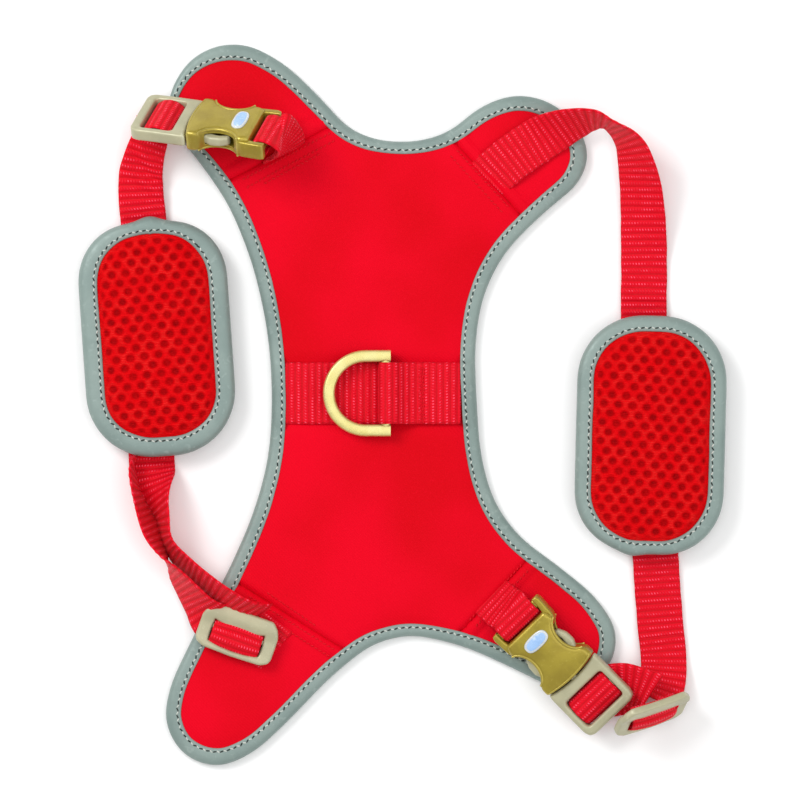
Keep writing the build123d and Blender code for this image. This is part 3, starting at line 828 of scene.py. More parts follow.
build_face()
build_core_and_lining()
strap_lift = 1 - soft_step(abs(panel_rim[:, 1] - CROSS_Y), CROSS_WEB / 2 - 1, CROSS_WEB / 2 + 2)
strap_lift *= np.where(panel_rim[:, 0] > 0, 1.9, 0.75) * (np.abs(panel_rim[:, 0]) < 70)
binding("panel_tape", panel_rim, cover, 0.0, FACE_TOP + TAPE, "panel", "panel_binding", strap_lift)


def sewn_row(name, start, end, slant):
    """A row of red stitches lying on the face cloth."""
    line = np.linspace(start, end, 24)
    seated = np.column_stack([line, face_height(line) + 0.1])
    return stitches(name, seated, 1.9, 1.5, 0.36, THREAD_RED, slant=slant)


def row_pair(name, start, end, depth, slant):
    """Two parallel rows of stitches, the second at this depth to the left of the first."""
    shift = line_axes(start, end)[1] * depth
    return [sewn_row(f"{name}_{k}", start + shift * k, end + shift * k, slant) for k in (0, 1)]


# The stitching along the seams, where the strap ends are sewn in.
seam_thread = join_pieces("seam_thread", [
    *row_pair("ul", (-64, 94.0), (-28, 113.2), -3.6, 0.3),
    sewn_row("ul_second", (-55, 92.4), (-31.3, 105.1), -0.4),
    *row_pair("ur", (24.5, 105.5), (45.5, 82.4), -3.4, 0.4),
    *row_pair("lr", (50.5, -66.0), (29.0, -89.0), 3.6, 0.4),
    *row_pair("ll", (-27.5, -100.4), (-62.5, -78.4), 3.4, 0.3),
    sewn_row("ll_second", (-35, -90.4), (-55.3, -76.5), -0.3),
])
fix(seam_thread, "panel", "face_cloth")


# ---------------------------------------------------------------- cross webbing and ring
ring_low, ring_high = (np.array(v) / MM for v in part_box("d_ring"))
RING_Z = (ring_low[2] + ring_high[2]) / 2
RING_ROD = ring_high[2] - ring_low[2]
RING_RADIUS = (ring_high[1] - ring_low[1] - RING_ROD) / 2
RING_BAR_X = ring_high[0] - RING_ROD / 2
RING_ROUND_X = ring_low[0] + RING_ROD / 2 + RING_RADIUS
cross_low, cross_high = (np.array(v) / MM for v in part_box("cross_strap"))


def flat_row(x, z):
    """A station of the cross webbing, whose width lies along y."""
    return (x, CROSS_Y, z, 0, 1, 0)


lower_web = webbing("cross_webbing", [
    flat_row(cross_low[0] - 1.2, 4.25), flat_row(cross_low[0] + 2.5, 4.75), flat_row(-35, 5.15),
    flat_row(-15, 5.15), flat_row(5, 5.1), flat_row(cross_high[0] - 3, 4.6),
    flat_row(cross_high[0] + 0.6, 3.9),
], width=CROSS_WEB, thick=1.2)
fix(lower_web, "panel", "webbing", "cross_strap")
KEEPER_WEB = 1.15
REACH = RING_ROD / 2 + 0.08 + 0.6      # from the ring bar's middle to that of the webbing round it
keeper_web = webbing("keeper_webbing", [
    flat_row(cross_high[0] + 0.6, 5.1), flat_row(cross_high[0] - 3, 5.75), flat_row(15, 6.4),
    flat_row(6.0, 6.9), flat_row(1.6, 9.0), flat_row(RING_BAR_X + 2.4, RING_Z + REACH * 0.8),
    flat_row(RING_BAR_X, RING_Z + REACH), flat_row(RING_BAR_X - 2.3, RING_Z + REACH * 0.72),
    flat_row(RING_BAR_X - REACH, RING_Z), flat_row(RING_BAR_X - 2.2, RING_Z - REACH * 0.74),
    flat_row(RING_BAR_X, RING_Z - REACH + 0.05), flat_row(0, 6.3), flat_row(6, 6.15),
], width=CROSS_WEB, thick=KEEPER_WEB)
fix(keeper_web, "panel", "webbing", "d_ring_keeper")
keeper_rows = []
for k, x in enumerate((8.6, 10.2)):
    line = np.array([(x + 0.25 * math.sin(y), y, 7.35) for y in np.arange(-6.5, 17.3, 0.8)])
    keeper_rows.append(stitches(f"keeper_row_{k}", line, 1.7, 1.3, 0.33, THREAD_RED, slant=0.5))
fix(join_pieces("keeper_thread", keeper_rows), "panel", "webbing")


def build_ring():
    """The cast D ring: flat-faced bow and arms with square ends, and a round bar in the keeper."""
    mid_y = (ring_low[1] + ring_high[1]) / 2
    half = RING_ROD / 2
    arm = [RING_BAR_X + half * 0.55, *np.linspace(RING_BAR_X - 1.5, RING_ROUND_X, 5)]
    path = [(x, mid_y + RING_RADIUS) for x in arm]
    for angle in np.linspace(93, 267, 45):
        a = math.radians(angle)
        path.append((RING_ROUND_X + RING_RADIUS * math.cos(a), mid_y + RING_RADIUS * math.sin(a)))
    path += [(x, mid_y - RING_RADIUS) for x in arm[::-1]]
    path = np.array(path)
    ahead = unit(np.gradient(path, axis=0))
    section = ((0.62, 0.86), (0.8, 0.78), (0.94, 0.5), (1.0, 0.0), (0.94, -0.5), (0.8, -0.78), (0.62, -0.86))
    ring = [(x * half, z * half) for x, z in section] + [(-x * half, z * half) for x, z in section[::-1]]
    points = [
        (p[0] - d[1] * s, p[1] + d[0] * s, RING_Z + z)
        for p, d in zip(path, ahead) for s, z in ring
    ]
    bow = new_piece("bow", points, tube_grid(len(path), len(ring)), BRASS)
    bar_path = np.linspace(mid_y - RING_RADIUS, mid_y + RING_RADIUS, 9)
    around = np.linspace(0, 2 * math.pi, 24, endpoint=False)
    points = [
        (RING_BAR_X - half * 0.25 + half * 0.8 * math.cos(a), y, RING_Z + half * 0.8 * math.sin(a))
        for y in bar_path for a in around
    ]
    bar = new_piece("bar", points, tube_grid(len(bar_path), len(around)), BRASS)
    whole = join_pieces("leash_d_ring", [bow, bar])
    smooth_by_angle(whole, 40)
    fix(whole, "leash_ring", "ring_metal", "d_ring")


build_ring()


# ---------------------------------------------------------------- buckles and sliders
def centre_of(node):
    """The middle of a CAD node's box, in metres."""
    low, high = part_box(node)
    return (low + high) / 2


def axes_matrix(origin, along, up):
    """Local millimetres to row-frame metres, for a part that lies along one direction."""
    x = Vector(along).normalized()
    y = Vector(up).cross(x).normalized()
    z = x.cross(y)
    turn = Matrix((x, y, z)).transposed().to_4x4()
    return Matrix.Translation(origin) @ turn


# Outward normals of the buckles' faces.
UPS = {"left": (-0.0561, 0.78365, 0.61867), "right": (-0.14996, -0.14696, 0.97771)}
SOCKET_MIDDLE = 15.0       # from the tether's bar to the middle of the socket


def joint(name):
    """The record's joint of this name."""
    return next(j for j in frame["joints"] if j["name"] == name)


BUCKLES = {}
for side in SIDES:
    along = Vector(joint(f"{side}_buckle_release")["axis"])
    origin = centre_of(f"{side}_buckle_socket") - along * SOCKET_MIDDLE * MM
    BUCKLES[side] = axes_matrix(origin, along, UPS[side])


def mirrored(half):
    """A closed outline from its upper half, ordered along x."""
    return [*half, *[(x, -y) for x, y in half[::-1] if abs(y) > 1e-6]]


def arc(centre, radii, start, end, count):
    """Points on an ellipse between two angles in degrees."""
    turn = np.radians(np.linspace(start, end, count))
    return [(centre[0] + radii[0] * math.cos(a), centre[1] + radii[1] * math.sin(a)) for a in turn]


def round_slot(x0, x1, half, corner):
    """A rounded rectangle hole across the buckle."""
    points = []
    for cx, cy, start in ((x1 - corner, half - corner, 0), (x0 + corner, half - corner, 90),
                          (x0 + corner, corner - half, 180), (x1 - corner, corner - half, 270)):
        points += arc((cx, cy), (corner, corner), start, start + 90, 7)
    return resample_loop(points, 0.7, 0)


def oblong(centre_x, half_x, half_y):
    """A rounded oblong that lies across the buckle."""
    turn = np.radians(np.arange(0, 360, 9))
    squared = [np.sign(f(turn)) * np.abs(f(turn)) ** 0.72 for f in (np.cos, np.sin)]
    return resample_loop(np.column_stack([centre_x + half_x * squared[0], half_y * squared[1]]), 0.5, 0.3)


def rim_bead(name, path, radius):
    """A raised bead along a path of points on the socket, thinner towards its ends."""
    line = np.array(path, float)
    ahead = unit(np.gradient(line, axis=0))
    side = unit(np.cross((0, 0, 1), ahead))
    up = np.cross(ahead, side)
    around = np.linspace(0, 2 * math.pi, 10, endpoint=False)
    taper = np.sin(np.linspace(0.06, 0.94, len(line)) * math.pi) ** 0.35
    points = [
        p + radius * t * (s * math.cos(a) + u * math.sin(a))
        for p, s, u, t in zip(line, side, up, taper) for a in around
    ]
    return new_piece(name, points, tube_grid(len(line), len(around)), SOCKET)


BULGE = 1.7                # how far the middle of the socket's mouth stands out past its corners
MOUTH_HALF = 13            # half of the buckle's width at the mouth


def mouth_curve(x, places):
    """The bulging line where the socket and the plug meet."""
    return [(x + BULGE * (1 - (y / MOUTH_HALF) ** 2), y) for y in places]


def build_socket(side):
    """The socket's shell with its tabs, bar and beads, and the badge on it."""
    place = BUCKLES[side]
    window = arc((17.6, 13.2), (8.2, 5.6), 195, 345, 23)
    half = [(4.4, 0.0), (4.4, 10.6), (6.0, 11.6), (8.4, 12.1), *window, (27.4, 12.9), (30.4, 13.0)]
    half += mouth_curve(31.0, np.linspace(12.6, 0, 12))
    shell = plate("shell", [resample_loop(mirrored(half), 0.8, 0.45)], 9.4, 1.7, SOCKET, 1.3, 0.35)
    cavity = plate("cavity", [round_slot(9.5, 36.0, 9.7, 0.8)], 5.0, 0.4, SOCKET, 3.0)
    subtract(shell, cavity)
    tab = [(-2.4, 10.3), (-2.2, 12.5), (-0.5, 13.1), (7.4, 12.7), (9.6, 11.9), (9.4, 9.6), (7.2, 9.4),
           (2.1, 10.2)]
    tabs, beads = [], []
    for sign in (1, -1):
        loop = resample_loop([(x, sign * y) for x, y in tab], 0.6, 0.25)
        tabs.append(plate("tab", [loop], 7.4, 0.8, SOCKET, 0.9, camber=lambda x, y: -0.5))
        for level in (4.1, -4.1):
            path = [(x, sign * y, level) for x, y in arc((17.6, 13.2), (8.6, 6.0), 190, 350, 29)]
            beads.append(rim_bead("bead", path, 0.75))
    bar = plate("bar", [round_slot(-1.9, 1.9, 10.8, 0.9)], 3.4, 0.9, SOCKET, 1.2)
    lip = [(x, y, 4.15) for x, y in mouth_curve(30.3, np.linspace(-11.8, 11.8, 25))]
    beads.append(rim_bead("lip", lip, 0.6))
    whole = join_pieces(f"{side}_socket", [shell, *tabs, bar, *beads])
    smooth_by_angle(whole)
    put_at(whole, place)
    fix(whole, f"{side}_loop", "socket_plastic", f"{side}_buckle_socket")

    rim = plate("rim", [oblong(11.4, 3.0, 5.8)], 1.6, 0.5, BADGE_RIM, 0.9)
    put_at(rim, Matrix.Translation((0, 0, 4.75 * MM)))
    field = plate("field", [oblong(11.4, 2.15, 4.9)], 0.9, 0.3, BADGE_FIELD, 0.9)
    put_at(field, Matrix.Translation((0, 0, 5.25 * MM)))
    badge = put_at(join_pieces(f"{side}_badge", [rim, field]), place)
    fix(badge, f"{side}_loop", "badge", f"{side}_buckle_badge")


def build_plug(side):
    """The plug's frame with its tongue and middle bar, and its two prongs."""
    place = BUCKLES[side]
    half = [*mouth_curve(31.4, np.linspace(0, 12.9, 12)), (33.4, 13.25), (52.6, 13.25), (55.0, 12.4),
            (56.0, 10.2), (56.0, 0.0)]
    loops = [resample_loop(mirrored(half), 0.9, 0.5), round_slot(38.2, 52.0, 10.2, 1.4)]
    frame_piece = plate("frame", loops, 5.6, 1.2, PLUG, 1.3, camber=lambda x, y: -0.25 * soft_step(x, 44, 56))
    tongue = plate("tongue", [round_slot(13.2, 34.0, 1.5, 0.7)], 4.0, 0.6, PLUG, 1.0)
    middle_bar = plate("middle_bar", [round_slot(43.6, 46.6, 10.8, 0.9)], 2.9, 0.7, PLUG, 1.2)
    plug = join_pieces(f"{side}_plug", [frame_piece, tongue, middle_bar])
    smooth_by_angle(plug)
    put_at(plug, place)
    fix(plug, f"{side}_strap", "plug_plastic", f"{side}_buckle_plug")
    outline = [(31.8, 4.6), (31.8, 6.6), (28.0, 7.4), (24.6, 9.6), (21.4, 11.1), (17.4, 10.9),
               (14.0, 9.4), (13.3, 7.6), (14.6, 6.8), (18.0, 7.8), (21.0, 7.4), (25.0, 5.4)]
    for arm, sign in (("front", 1), ("rear", -1)):
        loop = resample_loop([(x, sign * y) for x, y in outline], 0.55, 0.3)
        prong = plate(f"{side}_{arm}_prong", [loop], 4.1, 1.1, PLUG, 0.9)
        put_at(prong, place)
        fix(prong, f"{side}_{arm}_arm", "plug_plastic", f"{side}_prong_{arm}")


def local_rows(place, path):
    """Stations in a buckle's plane (x, z), as webbing rows with their width along its y."""
    across = place.to_3x3() @ Vector((0, 1, 0))
    return [(*((place @ Vector((x * MM, 0, z * MM))) / MM), *across) for x, z in path]


for side in SIDES:
    build_socket(side)
    build_plug(side)


SLIDER_UPS = {"left": (0, 0, 1), "right": (0.45, -0.78, 0.435)}
SLIDER_ALONG = {"left": (0.943, -0.333, 0), "right": (0.869, 0.270, -0.414)}
SLIDERS = {
    side: axes_matrix(centre_of(f"{side}_slider"), SLIDER_ALONG[side], SLIDER_UPS[side]) for side in SIDES
}


def build_slider(side):
    """A tri-glide with a broad rail, a narrow rail and a middle bar; its ends bend down a little."""
    outline = [
        (-16.5, -5.9), (-15.6, -7.9), (-12.5, -9.4), (0, -9.8), (12.5, -9.4), (15.6, -7.9), (16.5, -5.9),
        (16.5, 3.3), (15.2, 6.8), (12.6, 9.5), (0, 9.6), (-12.6, 9.5), (-15.2, 6.8), (-16.5, 3.3),
    ]
    window = [
        (-10.9, -6.2), (-5.5, -7.2), (0, -7.5), (5.5, -7.2), (10.9, -6.2),
        (10.9, 3.0), (6.0, 1.4), (0, 0.7), (-6.0, 1.4), (-10.9, 3.0),
    ]

    def camber(x, y):
        return 1.2 * soft_step(y, 0, 6) + 0.4 * soft_step(-y, 4.5, 9) - 0.5 * (x / 16.5) ** 2

    loops = [resample_loop(outline, 0.8, 0.45), resample_loop(window, 0.7, 0.25)]
    rails = plate("rails", loops, 3.2, 1.1, PLUG, 1.2, camber=camber)
    bar = plate("bar", [round_slot(-11.8, 11.8, 0.95, 0.4)], 1.3, 0.4, PLUG, 1.0)
    slider = join_pieces(f"{side}_tri_glide", [rails, bar])
    smooth_by_angle(slider)
    put_at(slider, SLIDERS[side])
    fix(slider, f"{side}_slide_lock", "plug_plastic", f"{side}_slider")


for side in SIDES:
    build_slider(side)


# ---------------------------------------------------------------- side webbing
def strap(piece, bodies, nodes=()):
    """Fixes a webbing piece to one body; given several bodies, it bakes the piece in place and fixes it to
    none of them.
    """
    if len(bodies) == 1:
        fix(piece, bodies[0], "webbing", *nodes)
        return
    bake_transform(piece)
    if nodes:
        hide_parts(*nodes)


LEFT_RUN_WEB = 2.2         # thickness of the straight run of the left strap


def build_folds(side):
    """Webbing round the plug's middle bar, and from the panel's seam round the socket's bar."""
    place = BUCKLES[side]
    fold = webbing(f"{side}_fold_webbing", local_rows(place, [
        (46.0, -3.7), (49.6, -3.3), (51.2, -1.6), (50.0, 0.5), (47.8, 2.0), (45.1, 2.6), (42.4, 2.0),
        (40.2, 0.5), (39.0, -1.6), (40.6, -3.3), (44.2, -3.7),
    ]), width=FOLD_WIDTH)
    strap(fold, [f"{side}_strap"], nodes=[f"{side}_strap_fold"])
    root, turned = TETHERS[side]
    bar = [(-5.5, 1.0), (-2.6, 2.3), (0.2, 2.75), (2.7, 1.7), (3.3, -0.6), (1.6, -2.6), (-2.5, -3.1)]
    rows = local_rows(place, bar)
    if turned:
        rows = [(*row[:3], *(-c for c in row[3:])) for row in rows]
    tether = webbing(f"{side}_tether_webbing", [*root, *rows])
    strap(tether, ["panel", f"{side}_loop"], [f"{side}_tether"])


FOLD_WIDTH = 20.0          # the strap's end, pressed a little wider round the plug's bar
# Each tether's stations from its seam, and whether its width is turned round at the socket's bar.
TETHERS = {
    "left": ([
        (-47.6, 104.4, 3.7, 0.89, 0.46, 0), (-47.2, 105.4, 8.4, 0.88, 0.48, -0.04),
        (-46.6, 107.0, 14.2, 0.76, 0.60, -0.24), (-46.7, 108.6, 20.6, 0.56, 0.66, -0.48),
        (-47.2, 110.2, 26.8, 0.40, 0.63, -0.65),
    ], True),
    "right": ([
        (38.0, -78.6, 4.3, 0.72, 0.70, 0), (40.0, -80.4, 6.2, 0.71, 0.71, 0),
        (42.6, -82.6, 9.2, 0.70, 0.70, 0.06),
    ], False),
}
for side in SIDES:
    build_folds(side)


# Creases that cross the left strap at a slant: place along it, slope, height and width.
CREASES = ((115, 0.85, 0.9, 2.2), (126, 1.1, 0.7, 1.8), (120.5, 0.95, -0.6, 1.6))


def diagonal_creases(run, v):
    """Height of the creases at a distance along the strap and across it."""
    return sum(
        height * np.exp(-(((run - middle + slope * v) / width) ** 2))
        for middle, slope, height, width in CREASES
    )


left_run = webbing("left_strap_run", [
    (-102.4, -20.5, 2.4, 1, 0, 0, 19), (-104.0, 28, 2.4, 1, 0, 0, 19), (-105.5, 74.4, 2.4, 1, 0, 0, 19),
    (-106.7, 87, 3.0, 1, 0, 0.02, 18.8), (-106.6, 97, 5.0, 1, 0, 0.05, 18.0),
    (-104.6, 105, 8.2, 1, 0.05, 0.04, 16.2), (-102.4, 112, 9.6, 1, 0.1, 0.02, 15.0),
    (-101.2, 119.5, 9.3, 1, 0.15, 0.0, 14.5),
], thick=LEFT_RUN_WEB, crease=diagonal_creases)
strap(left_run, ["left_strap"], nodes=["left_strap_upper"])

left_inner = webbing("left_strap_inner", [
    (-102.4, -19.0, 1.6, 19.0, 0, 0), (-102.2, -25.0, 1.9, 19.0, 0, 0.6),
    (-101.0, -33.5, 6.4, 14.0, 0, 9.6), (-97.9, -44.7, 10.4, 7.0, 1.2, 17.5),
    (-95.8, -55.6, 11.0, 4.8, 2.6, 18.1), (-88.9, -65.1, 12.0, 5.2, 5.6, 17.3),
    (-80.5, -72.9, 14.4, 6.0, 6.6, 16.6), (-72.0, -79.2, 15.0, 6.4, 7.0, 16.2),
    (-64.6, -84.2, 12.8, 6.5, 7.5, 13.6), (-58.5, -87.6, 8.6, 8, 9, 7),
])
strap(left_inner, ["left_loop", "left_strap"], ["left_strap_lower"])
left_outer = webbing("left_strap_outer", [
    (-108.6, -15.5, 2.5, 4.0, 0, 1.0, 4.5), (-109.6, -20.5, 3.1, 3.0, 0, 3.0, 5.0),
    (-109.9, -26.5, 6.8, -1.0, 0, 10.0, 12.0), (-108.7, -33.5, 9.8, -2.6, 0.4, 18.4, 17.5),
    (-105.8, -42.0, 10.4, -5.2, 0.7, 17.9, 19), (-100.6, -54.0, 10.6, -7.0, 0.0, 17.2, 19),
    (-96.4, -62.8, 11.0, -2.0, 2.0, 18.6, 19), (-92.3, -69.3, 11.4, 4.4, 4.0, 17.8, 19),
    (-87.0, -76.4, 11.2, 7.6, 5.6, 16.2, 19), (-81.6, -83.4, 9.7, 8.8, 8.6, 13.1, 19),
    (-76.8, -88.8, 8.1, 11, 12, 5, 19), (-71.5, -93.2, 7.4, 13, 13.5, 0, 19),
])
strap(left_outer, ["left_loop", "left_strap"], ["left_strap_return"])
left_anchor = webbing("left_anchor_webbing", [
    (-50.6, -86.6, 4.2, 0.844, -0.537, 0), (-52.8, -89.2, 5.4, 0.844, -0.537, 0),
    (-57.5, -94.6, 5.6, 0.89, -0.45, 0), (-63.0, -101.0, 5.5, 0.94, -0.33, 0),
    (-65.0, -104.2, 5.8, 0.94, -0.33, 0),
])
strap(left_anchor, ["panel", "left_loop"], ["left_strap_anchor"])

right_root, right_arch, right_run, right_end = webbing(
    ["right_strap_root", "right_strap_arch", "right_strap_run", "right_strap_end"], [
        (37.0, 94.0, 4.3, 13.7, -14.5, 0), (40.9, 97.7, 6.1, 13.7, -14.5, 0),
        (57.3, 109.6, 7.2, 13.4, -12.8, -1.0), (71.5, 116.4, 13.2, 9.3, -10.7, -12.6),
        (78.0, 117.9, 15.0, 5.8, -8.4, -16.0), (83.5, 117.6, 15.5, 2.9, -6.2, -17.7),
        (86.9, 116.0, 15.5, -2.0, -2.9, -18.7), (91.7, 112.8, 14.3, -7.6, -1.8, -17.3),
        (95.6, 107.8, 13.2, -11.4, -1.1, -15.2), (98.4, 99.6, 11.3, -14.0, -2.3, -12.6),
        (100.2, 90.4, 8.0, -16.2, -2.4, -9.6), (101.2, 79.3, 5.0, -17.7, -1.2, -6.0),
        (101.8, 61.3, 1.9, -18.6, 0, -0.5), (101.7, 38.5, 1.7, -19.0, 0, 0),
        (103.9, -8.0, 1.7, -19.0, 0, 0), (106.5, -61.8, 1.7, -19.0, 0, 0),
        (108.7, -92.0, 1.7, -19.0, 0.3, 0), (109.9, -105.0, 2.6, -18.4, 0.6, 1.2),
        (109.4, -113.5, 6.2, -17.6, -1.0, 3.0), (106.4, -121.2, 12.0, -16.4, -3.5, 6.0),
    ], cuts=(22, 138, 277))
strap(right_root, ["panel", "right_loop"])
strap(right_arch, ["right_loop", "right_strap"], ["right_strap_anchor"])
strap(right_run, ["right_strap"], nodes=["right_strap_upper"])
strap(right_end, ["right_strap", "right_slide_lock"])
right_link = webbing("right_link_webbing", [
    (79.5, -119.5, 8.0, 0.50, 0.85, 0.18, 18), (85.5, -116.5, 8.8, 0.36, 0.90, 0.22, 18.5),
    (92.5, -115.2, 10.4, 0.22, 0.92, 0.32, 19), (99.0, -116.5, 12.6, 0.34, 0.84, 0.40, 19),
    (104.0, -119.2, 14.0, 0.60, 0.70, 0.20, 19),
])
strap(right_link, ["right_strap", "right_slide_lock"], ["right_strap_link"])
right_tail = webbing("right_tail_webbing", [
    (82.0, -121.0, 6.4, 0.50, 0.85, 0.18, 18), (88.5, -119.6, 6.6, 0.30, 0.93, 0.15, 18),
    (96.0, -119.0, 8.4, 0.22, 0.93, 0.20, 17), (102.5, -121.0, 11.4, 0.40, 0.85, 0.20, 16),
])
strap(right_tail, ["right_strap", "right_slide_lock"])


WRAP_WIDTH = 21.2
WRAP_TOP = (13.5, 17.0)    # run of the wrap over which its crown fades out


def build_wrap(side):
    """Webbing over the slider's middle bar, bulging in the slot."""
    place = SLIDERS[side]
    across = place.to_3x3() @ Vector((1, 0, 0))
    path = [(5.6, -2.5), (4.1, -2.2), (2.9, -0.9), (1.6, 0.9), (-0.3, 2.0), (-2.8, 2.3), (-5.1, 1.6),
            (-6.8, -0.4), (-5.8, -2.0), (-1.0, -2.2), (2.6, -2.4)]
    rows = [(*((place @ Vector((0, y * MM, z * MM))) / MM), *(-across)) for y, z in path]
    wrap = webbing(f"{side}_wrap_webbing", rows, width=WRAP_WIDTH, thick=1.1,
                   crease=lambda run, v: (1 - soft_step(run, *WRAP_TOP)) * (1 - (2 * v / WRAP_WIDTH) ** 2))
    strap(wrap, [f"{side}_slide_lock"], nodes=[f"{side}_slider_wrap"])


for side in SIDES:
    build_wrap(side)


# ---------------------------------------------------------------- pads
PAD_COVER = {"left": 8.2, "right": 6.9}     # how far each pad's tape reaches in over its face
# Where each pad's outline comes to a point, and how far it stands out there.
PAD_PEAKS = {"left": ((-103.3, 79.3), 2.6), "right": ((95.9, -62.7), 1.3)}
PAD_TAPE_RISE = 6.6
PAD_SWELL = 4.0            # furthest that the simulation may move a point of the cushion
PAD_VOXEL = 4.2
PRESSURE = 4.0
LAST_FRAME = 20
HOLE_PITCH = 5.9           # between the mesh's holes along a row
HOLE_ROWS = 3.9            # between rows of holes
HOLE_TURN = {"left": 0.14, "right": -0.10}


def hole_depth(flat, middle, turn):
    """How deep each point lies in the nearest hole of the air mesh, 0 to 1."""
    c, s = math.cos(turn), math.sin(turn)
    local = (flat - middle) @ np.array([[c, -s], [s, c]])
    best = np.full(len(flat), 9.0)
    row = np.round(local[:, 1] / HOLE_ROWS)
    for step in (-1, 0, 1):
        r = row + step
        shift = (r % 2) * HOLE_PITCH / 2
        x = np.round((local[:, 0] - shift) / HOLE_PITCH) * HOLE_PITCH + shift
        gap = np.hypot(local[:, 0] - x, (local[:, 1] - r * HOLE_ROWS) * 1.05)
        best = np.minimum(best, gap)
    return 1 - soft_step(best, 0.7, 2.5)


def puff(obj, rim, cap):
    """Inflates a closed pad by cloth simulation, held at its rim; no point moves further than the cap."""
    remesh = obj.modifiers.new("voxels", "REMESH")
    remesh.mode = "VOXEL"
    remesh.voxel_size = PAD_VOXEL * MM
    apply_modifiers(obj)
    start = np.array([v.co[:] for v in obj.data.vertices])
    held = obj.vertex_groups.new(name="held")
    from_rim = distance_to(start[:, :2] / MM, [rim])
    for index, gap in enumerate(from_rim):
        held.add([index], float(1 - soft_step(gap, 2.0, 7.0)), "REPLACE")
    cloth = obj.modifiers.new("cloth", "CLOTH")
    cloth.settings.use_pressure = True
    cloth.settings.uniform_pressure_force = PRESSURE
    cloth.settings.vertex_group_mass = held.name
    cloth.settings.effector_weights.gravity = 0
    cloth.point_cache.frame_start = 1
    cloth.point_cache.frame_end = LAST_FRAME
    for step in range(1, LAST_FRAME + 1):
        bpy.context.scene.frame_set(step)
    apply_modifiers(obj)
    bpy.context.scene.frame_set(1)
    moved = np.array([v.co[:] for v in obj.data.vertices]) - start
    far = np.linalg.norm(moved, axis=1)
    moved *= (cap * MM * np.tanh(far / (cap * MM)) / np.maximum(far, 1e-9))[:, None]
    obj.data.vertices.foreach_set("co", (start + moved).ravel())
    obj.vertex_groups.clear()
    subdivide(obj)
    obj.data.polygons.foreach_set("use_smooth", [True] * len(obj.data.polygons))


def heights_over(obj, flat, default):
    """Height of a piece's top under each point, or the default where nothing is below."""
    mesh = obj.data
    tree = BVHTree.FromPolygons([v.co[:] for v in mesh.vertices], [p.vertices[:] for p in mesh.polygons])
    found = default.copy()
    for index, (x, y) in enumerate(flat):
        hit = tree.ray_cast(Vector((x * MM, y * MM, 0.1)), Vector((0, 0, -1)))[0]
        if hit is not None:
            found[index] = hit.z / MM
    return found


def build_pad(side):
    """One pad: its tape, cushion, mesh face and backing, and the sleeve below."""
    body = f"{side}_pad"
    low, high = (np.array(v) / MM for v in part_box(f"{side}_pad_binding"))
    base, top = low[2], high[2]
    middle = (low[:2] + high[:2]) / 2
    rim = resample_loop(level_loops(f"{side}_pad_binding", top)[0], 1.4, 1.5)
    inward = inward_normals(rim)
    peak, height = PAD_PEAKS[side]
    away = ((rim - peak) ** 2).sum(1)
    push = height * (np.exp(-away / 5.5**2) - 1.1 * np.exp(-away / 20.0**2))
    rim = rim - inward * push[:, None]
    covers = PAD_COVER[side] + push + 0.35 * wave(rim, 0.05, 2.0)
    tape_base = base + 0.7
    binding(f"{side}_pad_tape", rim, covers, tape_base, PAD_TAPE_RISE, body, f"{side}_pad_binding",
            ripple=0.2)
    edge_level = tape_base + PAD_TAPE_RISE - 0.75
    outline = resample_loop(rim + inward * (covers[:, None] - 2.2), 1.0, 1.0)
    visible_rim = resample_loop(rim + inward * covers[:, None], 1.0, 1.0)

    cushion_rim = resample_loop(rim + inward * 2.2, 2.4, 1.5)
    flat, faces = fill([cushion_rim], 3.5, (1.5, 3.2))
    edge = distance_to(flat, [cushion_rim])
    upper = tape_base + 2.0 + 5.2 * (1 - np.exp(-edge / 4.0))
    lower = np.full(len(flat), tape_base + 1.6)
    cushion = closed_body(f"{side}_pad_cushion", flat, faces, upper, lower, FOAM)
    puff(cushion, cushion_rim, PAD_SWELL)
    fix(cushion, body, "foam", f"{side}_pad_foam")

    def crown(flat):
        edge = distance_to(flat, [visible_rim]) * np.where(inside(flat, visible_rim), 1, -1)
        swell = 1 - np.exp(-np.clip(edge, 0, None) / 4.6)
        level = edge_level - 0.3 + 6.2 * swell + np.clip(edge, -2, 0) * 0.1
        under = heights_over(cushion, flat, level - 0.3) + 0.3
        level += (np.clip(under, level - 1.5, level + 1.8) - level) * soft_step(edge, 1.0, 8.0)
        return level + 0.25 * wave(flat, 0.06, 4.0) * swell

    flat, faces = fill([outline], 0.78, (0.8, 1.6))
    depth = hole_depth(flat, middle, HOLE_TURN[side])
    surface = crown(flat)
    depth *= soft_step(distance_to(flat, [visible_rim]) * inside(flat, visible_rim), 0.6, 2.2)
    ridge = 0.10 * wave(flat, 0.5, 7.0)
    face = closed_body(f"{side}_pad_mesh", flat, faces, surface + ridge - 1.25 * depth, surface - 2.0,
                       AIR_MESH, marks=depth)
    fix(face, body, "mesh_cloth", f"{side}_pad_face")

    outline = resample_loop(rim + inward * (covers[:, None] - 2.2), 2.0, 1.5)
    flat, faces = fill([outline], 2.6, (1.0, 2.4, 4.0))
    edge = distance_to(flat, [outline])
    under = tape_base + 0.5 - 0.85 * soft_step(edge, 1.5, 7) + 0.06 * wave(flat, 0.1, 6.0)
    backing = closed_body(f"{side}_pad_back", flat, faces, under + 0.9, under, LINING)
    fix(backing, body, "lining", f"{side}_pad_backing")
    build_sleeve(side, body, base)


SLEEVE_HALF = 30.0         # half of a sleeve's length


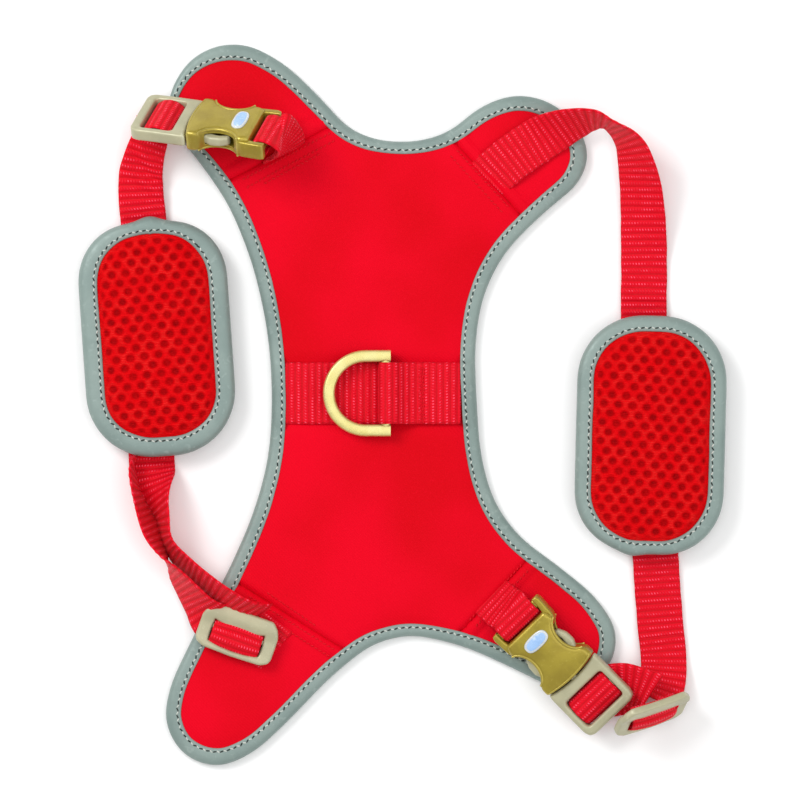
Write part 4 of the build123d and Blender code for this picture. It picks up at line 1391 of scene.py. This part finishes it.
def build_sleeve(side, body, base):
    """The channel under a pad that the webbing runs through: a band sewn on along both sides."""
    axis = Vector(joint(f"{side}_pad_slide")["axis"])
    low, high = (np.array(v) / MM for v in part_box(f"{side}_pad_sleeve"))
    middle = (low + high) / 2
    along = np.array(axis[:2]) / np.linalg.norm(axis[:2])
    across = np.array([along[1], -along[0]])
    section = [(-14.5, base + 0.55), (-11.6, base + 0.2), (-10.9, 2.8), (-10.6, 0.75), (-9.8, 0.12), (0, 0.0),
               (9.8, 0.12), (10.6, 0.75), (10.9, 2.8), (11.6, base + 0.2), (14.5, base + 0.55)]
    inner = [(x * (1 - 0.055 * (abs(x) < 12)), z + 0.6 * (abs(x) < 10.2) + 0.1) for x, z in section[::-1]]
    inner[0] = (14.5, base + 0.95)
    inner[-1] = (-14.5, base + 0.95)
    ring = np.array(section + inner)
    places = np.linspace(-SLEEVE_HALF, SLEEVE_HALF, 41)
    points = []
    for t in places:
        flare = 0.12 * noise.noise(Vector((t * 0.2, middle[0], 0)))
        for x, z in ring:
            p = middle[:2] + along * t + across * (x * (1 + 0.01 * flare))
            points.append((*p, max(z + flare * 0.3, 0.0)))
    band = subdivide(new_piece(f"{side}_pad_loop", points, tube_grid(len(places), len(ring)), TAPE_GREY))
    rows = []
    for sign in (1, -1):
        line = [(*(middle[:2] + along * t + across * sign * 12.9), base + 0.34) for t in places]
        # The sleeve's stitches are all in the dark thread of painted shade.
        rows.append(stitches(f"row{sign}", line, 3.1, 2.0, 0.32, THREAD_SHADED, slant=0.2))
    fix(band, body, "binding", f"{side}_pad_sleeve")
    fix(join_pieces(f"{side}_pad_loop_thread", rows), body, "binding")


for side in SIDES:
    build_pad(side)


# ---------------------------------------------------------------- camera, light and floor
VIEW_CENTRE = (0.6, 2.5)
VIEW_WIDTH = 332.0
CAMERA_HEIGHT = 2.4        # in metres, far enough for a nearly parallel view
SENSOR = 36.0
camera_data = bpy.data.cameras.new("camera")
camera_data.sensor_width = SENSOR
camera_data.lens = SENSOR * CAMERA_HEIGHT / (VIEW_WIDTH * MM)
camera_data.clip_end = 20
camera = bpy.data.objects.new("camera", camera_data)
camera.location = (VIEW_CENTRE[0] * MM, VIEW_CENTRE[1] * MM, CAMERA_HEIGHT)
bpy.context.scene.collection.objects.link(camera)
bpy.context.scene.camera = camera


# Square lights aimed at the origin: name, place in metres, size in metres, power in watts.
for name, place, size, power in (("key", (-0.75, 0.55, 0.95), 0.55, 9.5),
                                 ("fill", (0.9, -0.35, 0.9), 1.1, 4.5),
                                 ("top", (0.1, 0.1, 1.6), 1.2, 6.0)):
    light_data = bpy.data.lights.new(name, "AREA")
    light_data.shape = "SQUARE"
    light_data.size = size
    light_data.energy = power
    light = bpy.data.objects.new(name, light_data)
    light.location = place
    light.rotation_mode = "QUATERNION"
    light.rotation_quaternion = (-Vector(place)).to_track_quat("-Z", "Y")
    bpy.context.scene.collection.objects.link(light)

world = bpy.data.worlds.new("studio")
world.use_nodes = True
world.node_tree.nodes["Background"].inputs[0].default_value = (1.0, 1.0, 1.0, 1)
world.node_tree.nodes["Background"].inputs[1].default_value = 0.62
bpy.context.scene.world = world
bpy.context.scene.view_settings.view_transform = "Standard"

FLOOR_HALF = 3000.0
FLOOR_Z = -0.02            # just below the object, so that the two don't share a plane
corners = [(x * FLOOR_HALF, y * FLOOR_HALF, FLOOR_Z) for x, y in ((-1, -1), (1, -1), (1, 1), (-1, 1))]
floor_pale = Shader("floor_pale", (0.92, 0.92, 0.92), 0.9).material
new_piece("floor", corners, [(0, 1, 2, 3)], floor_pale)
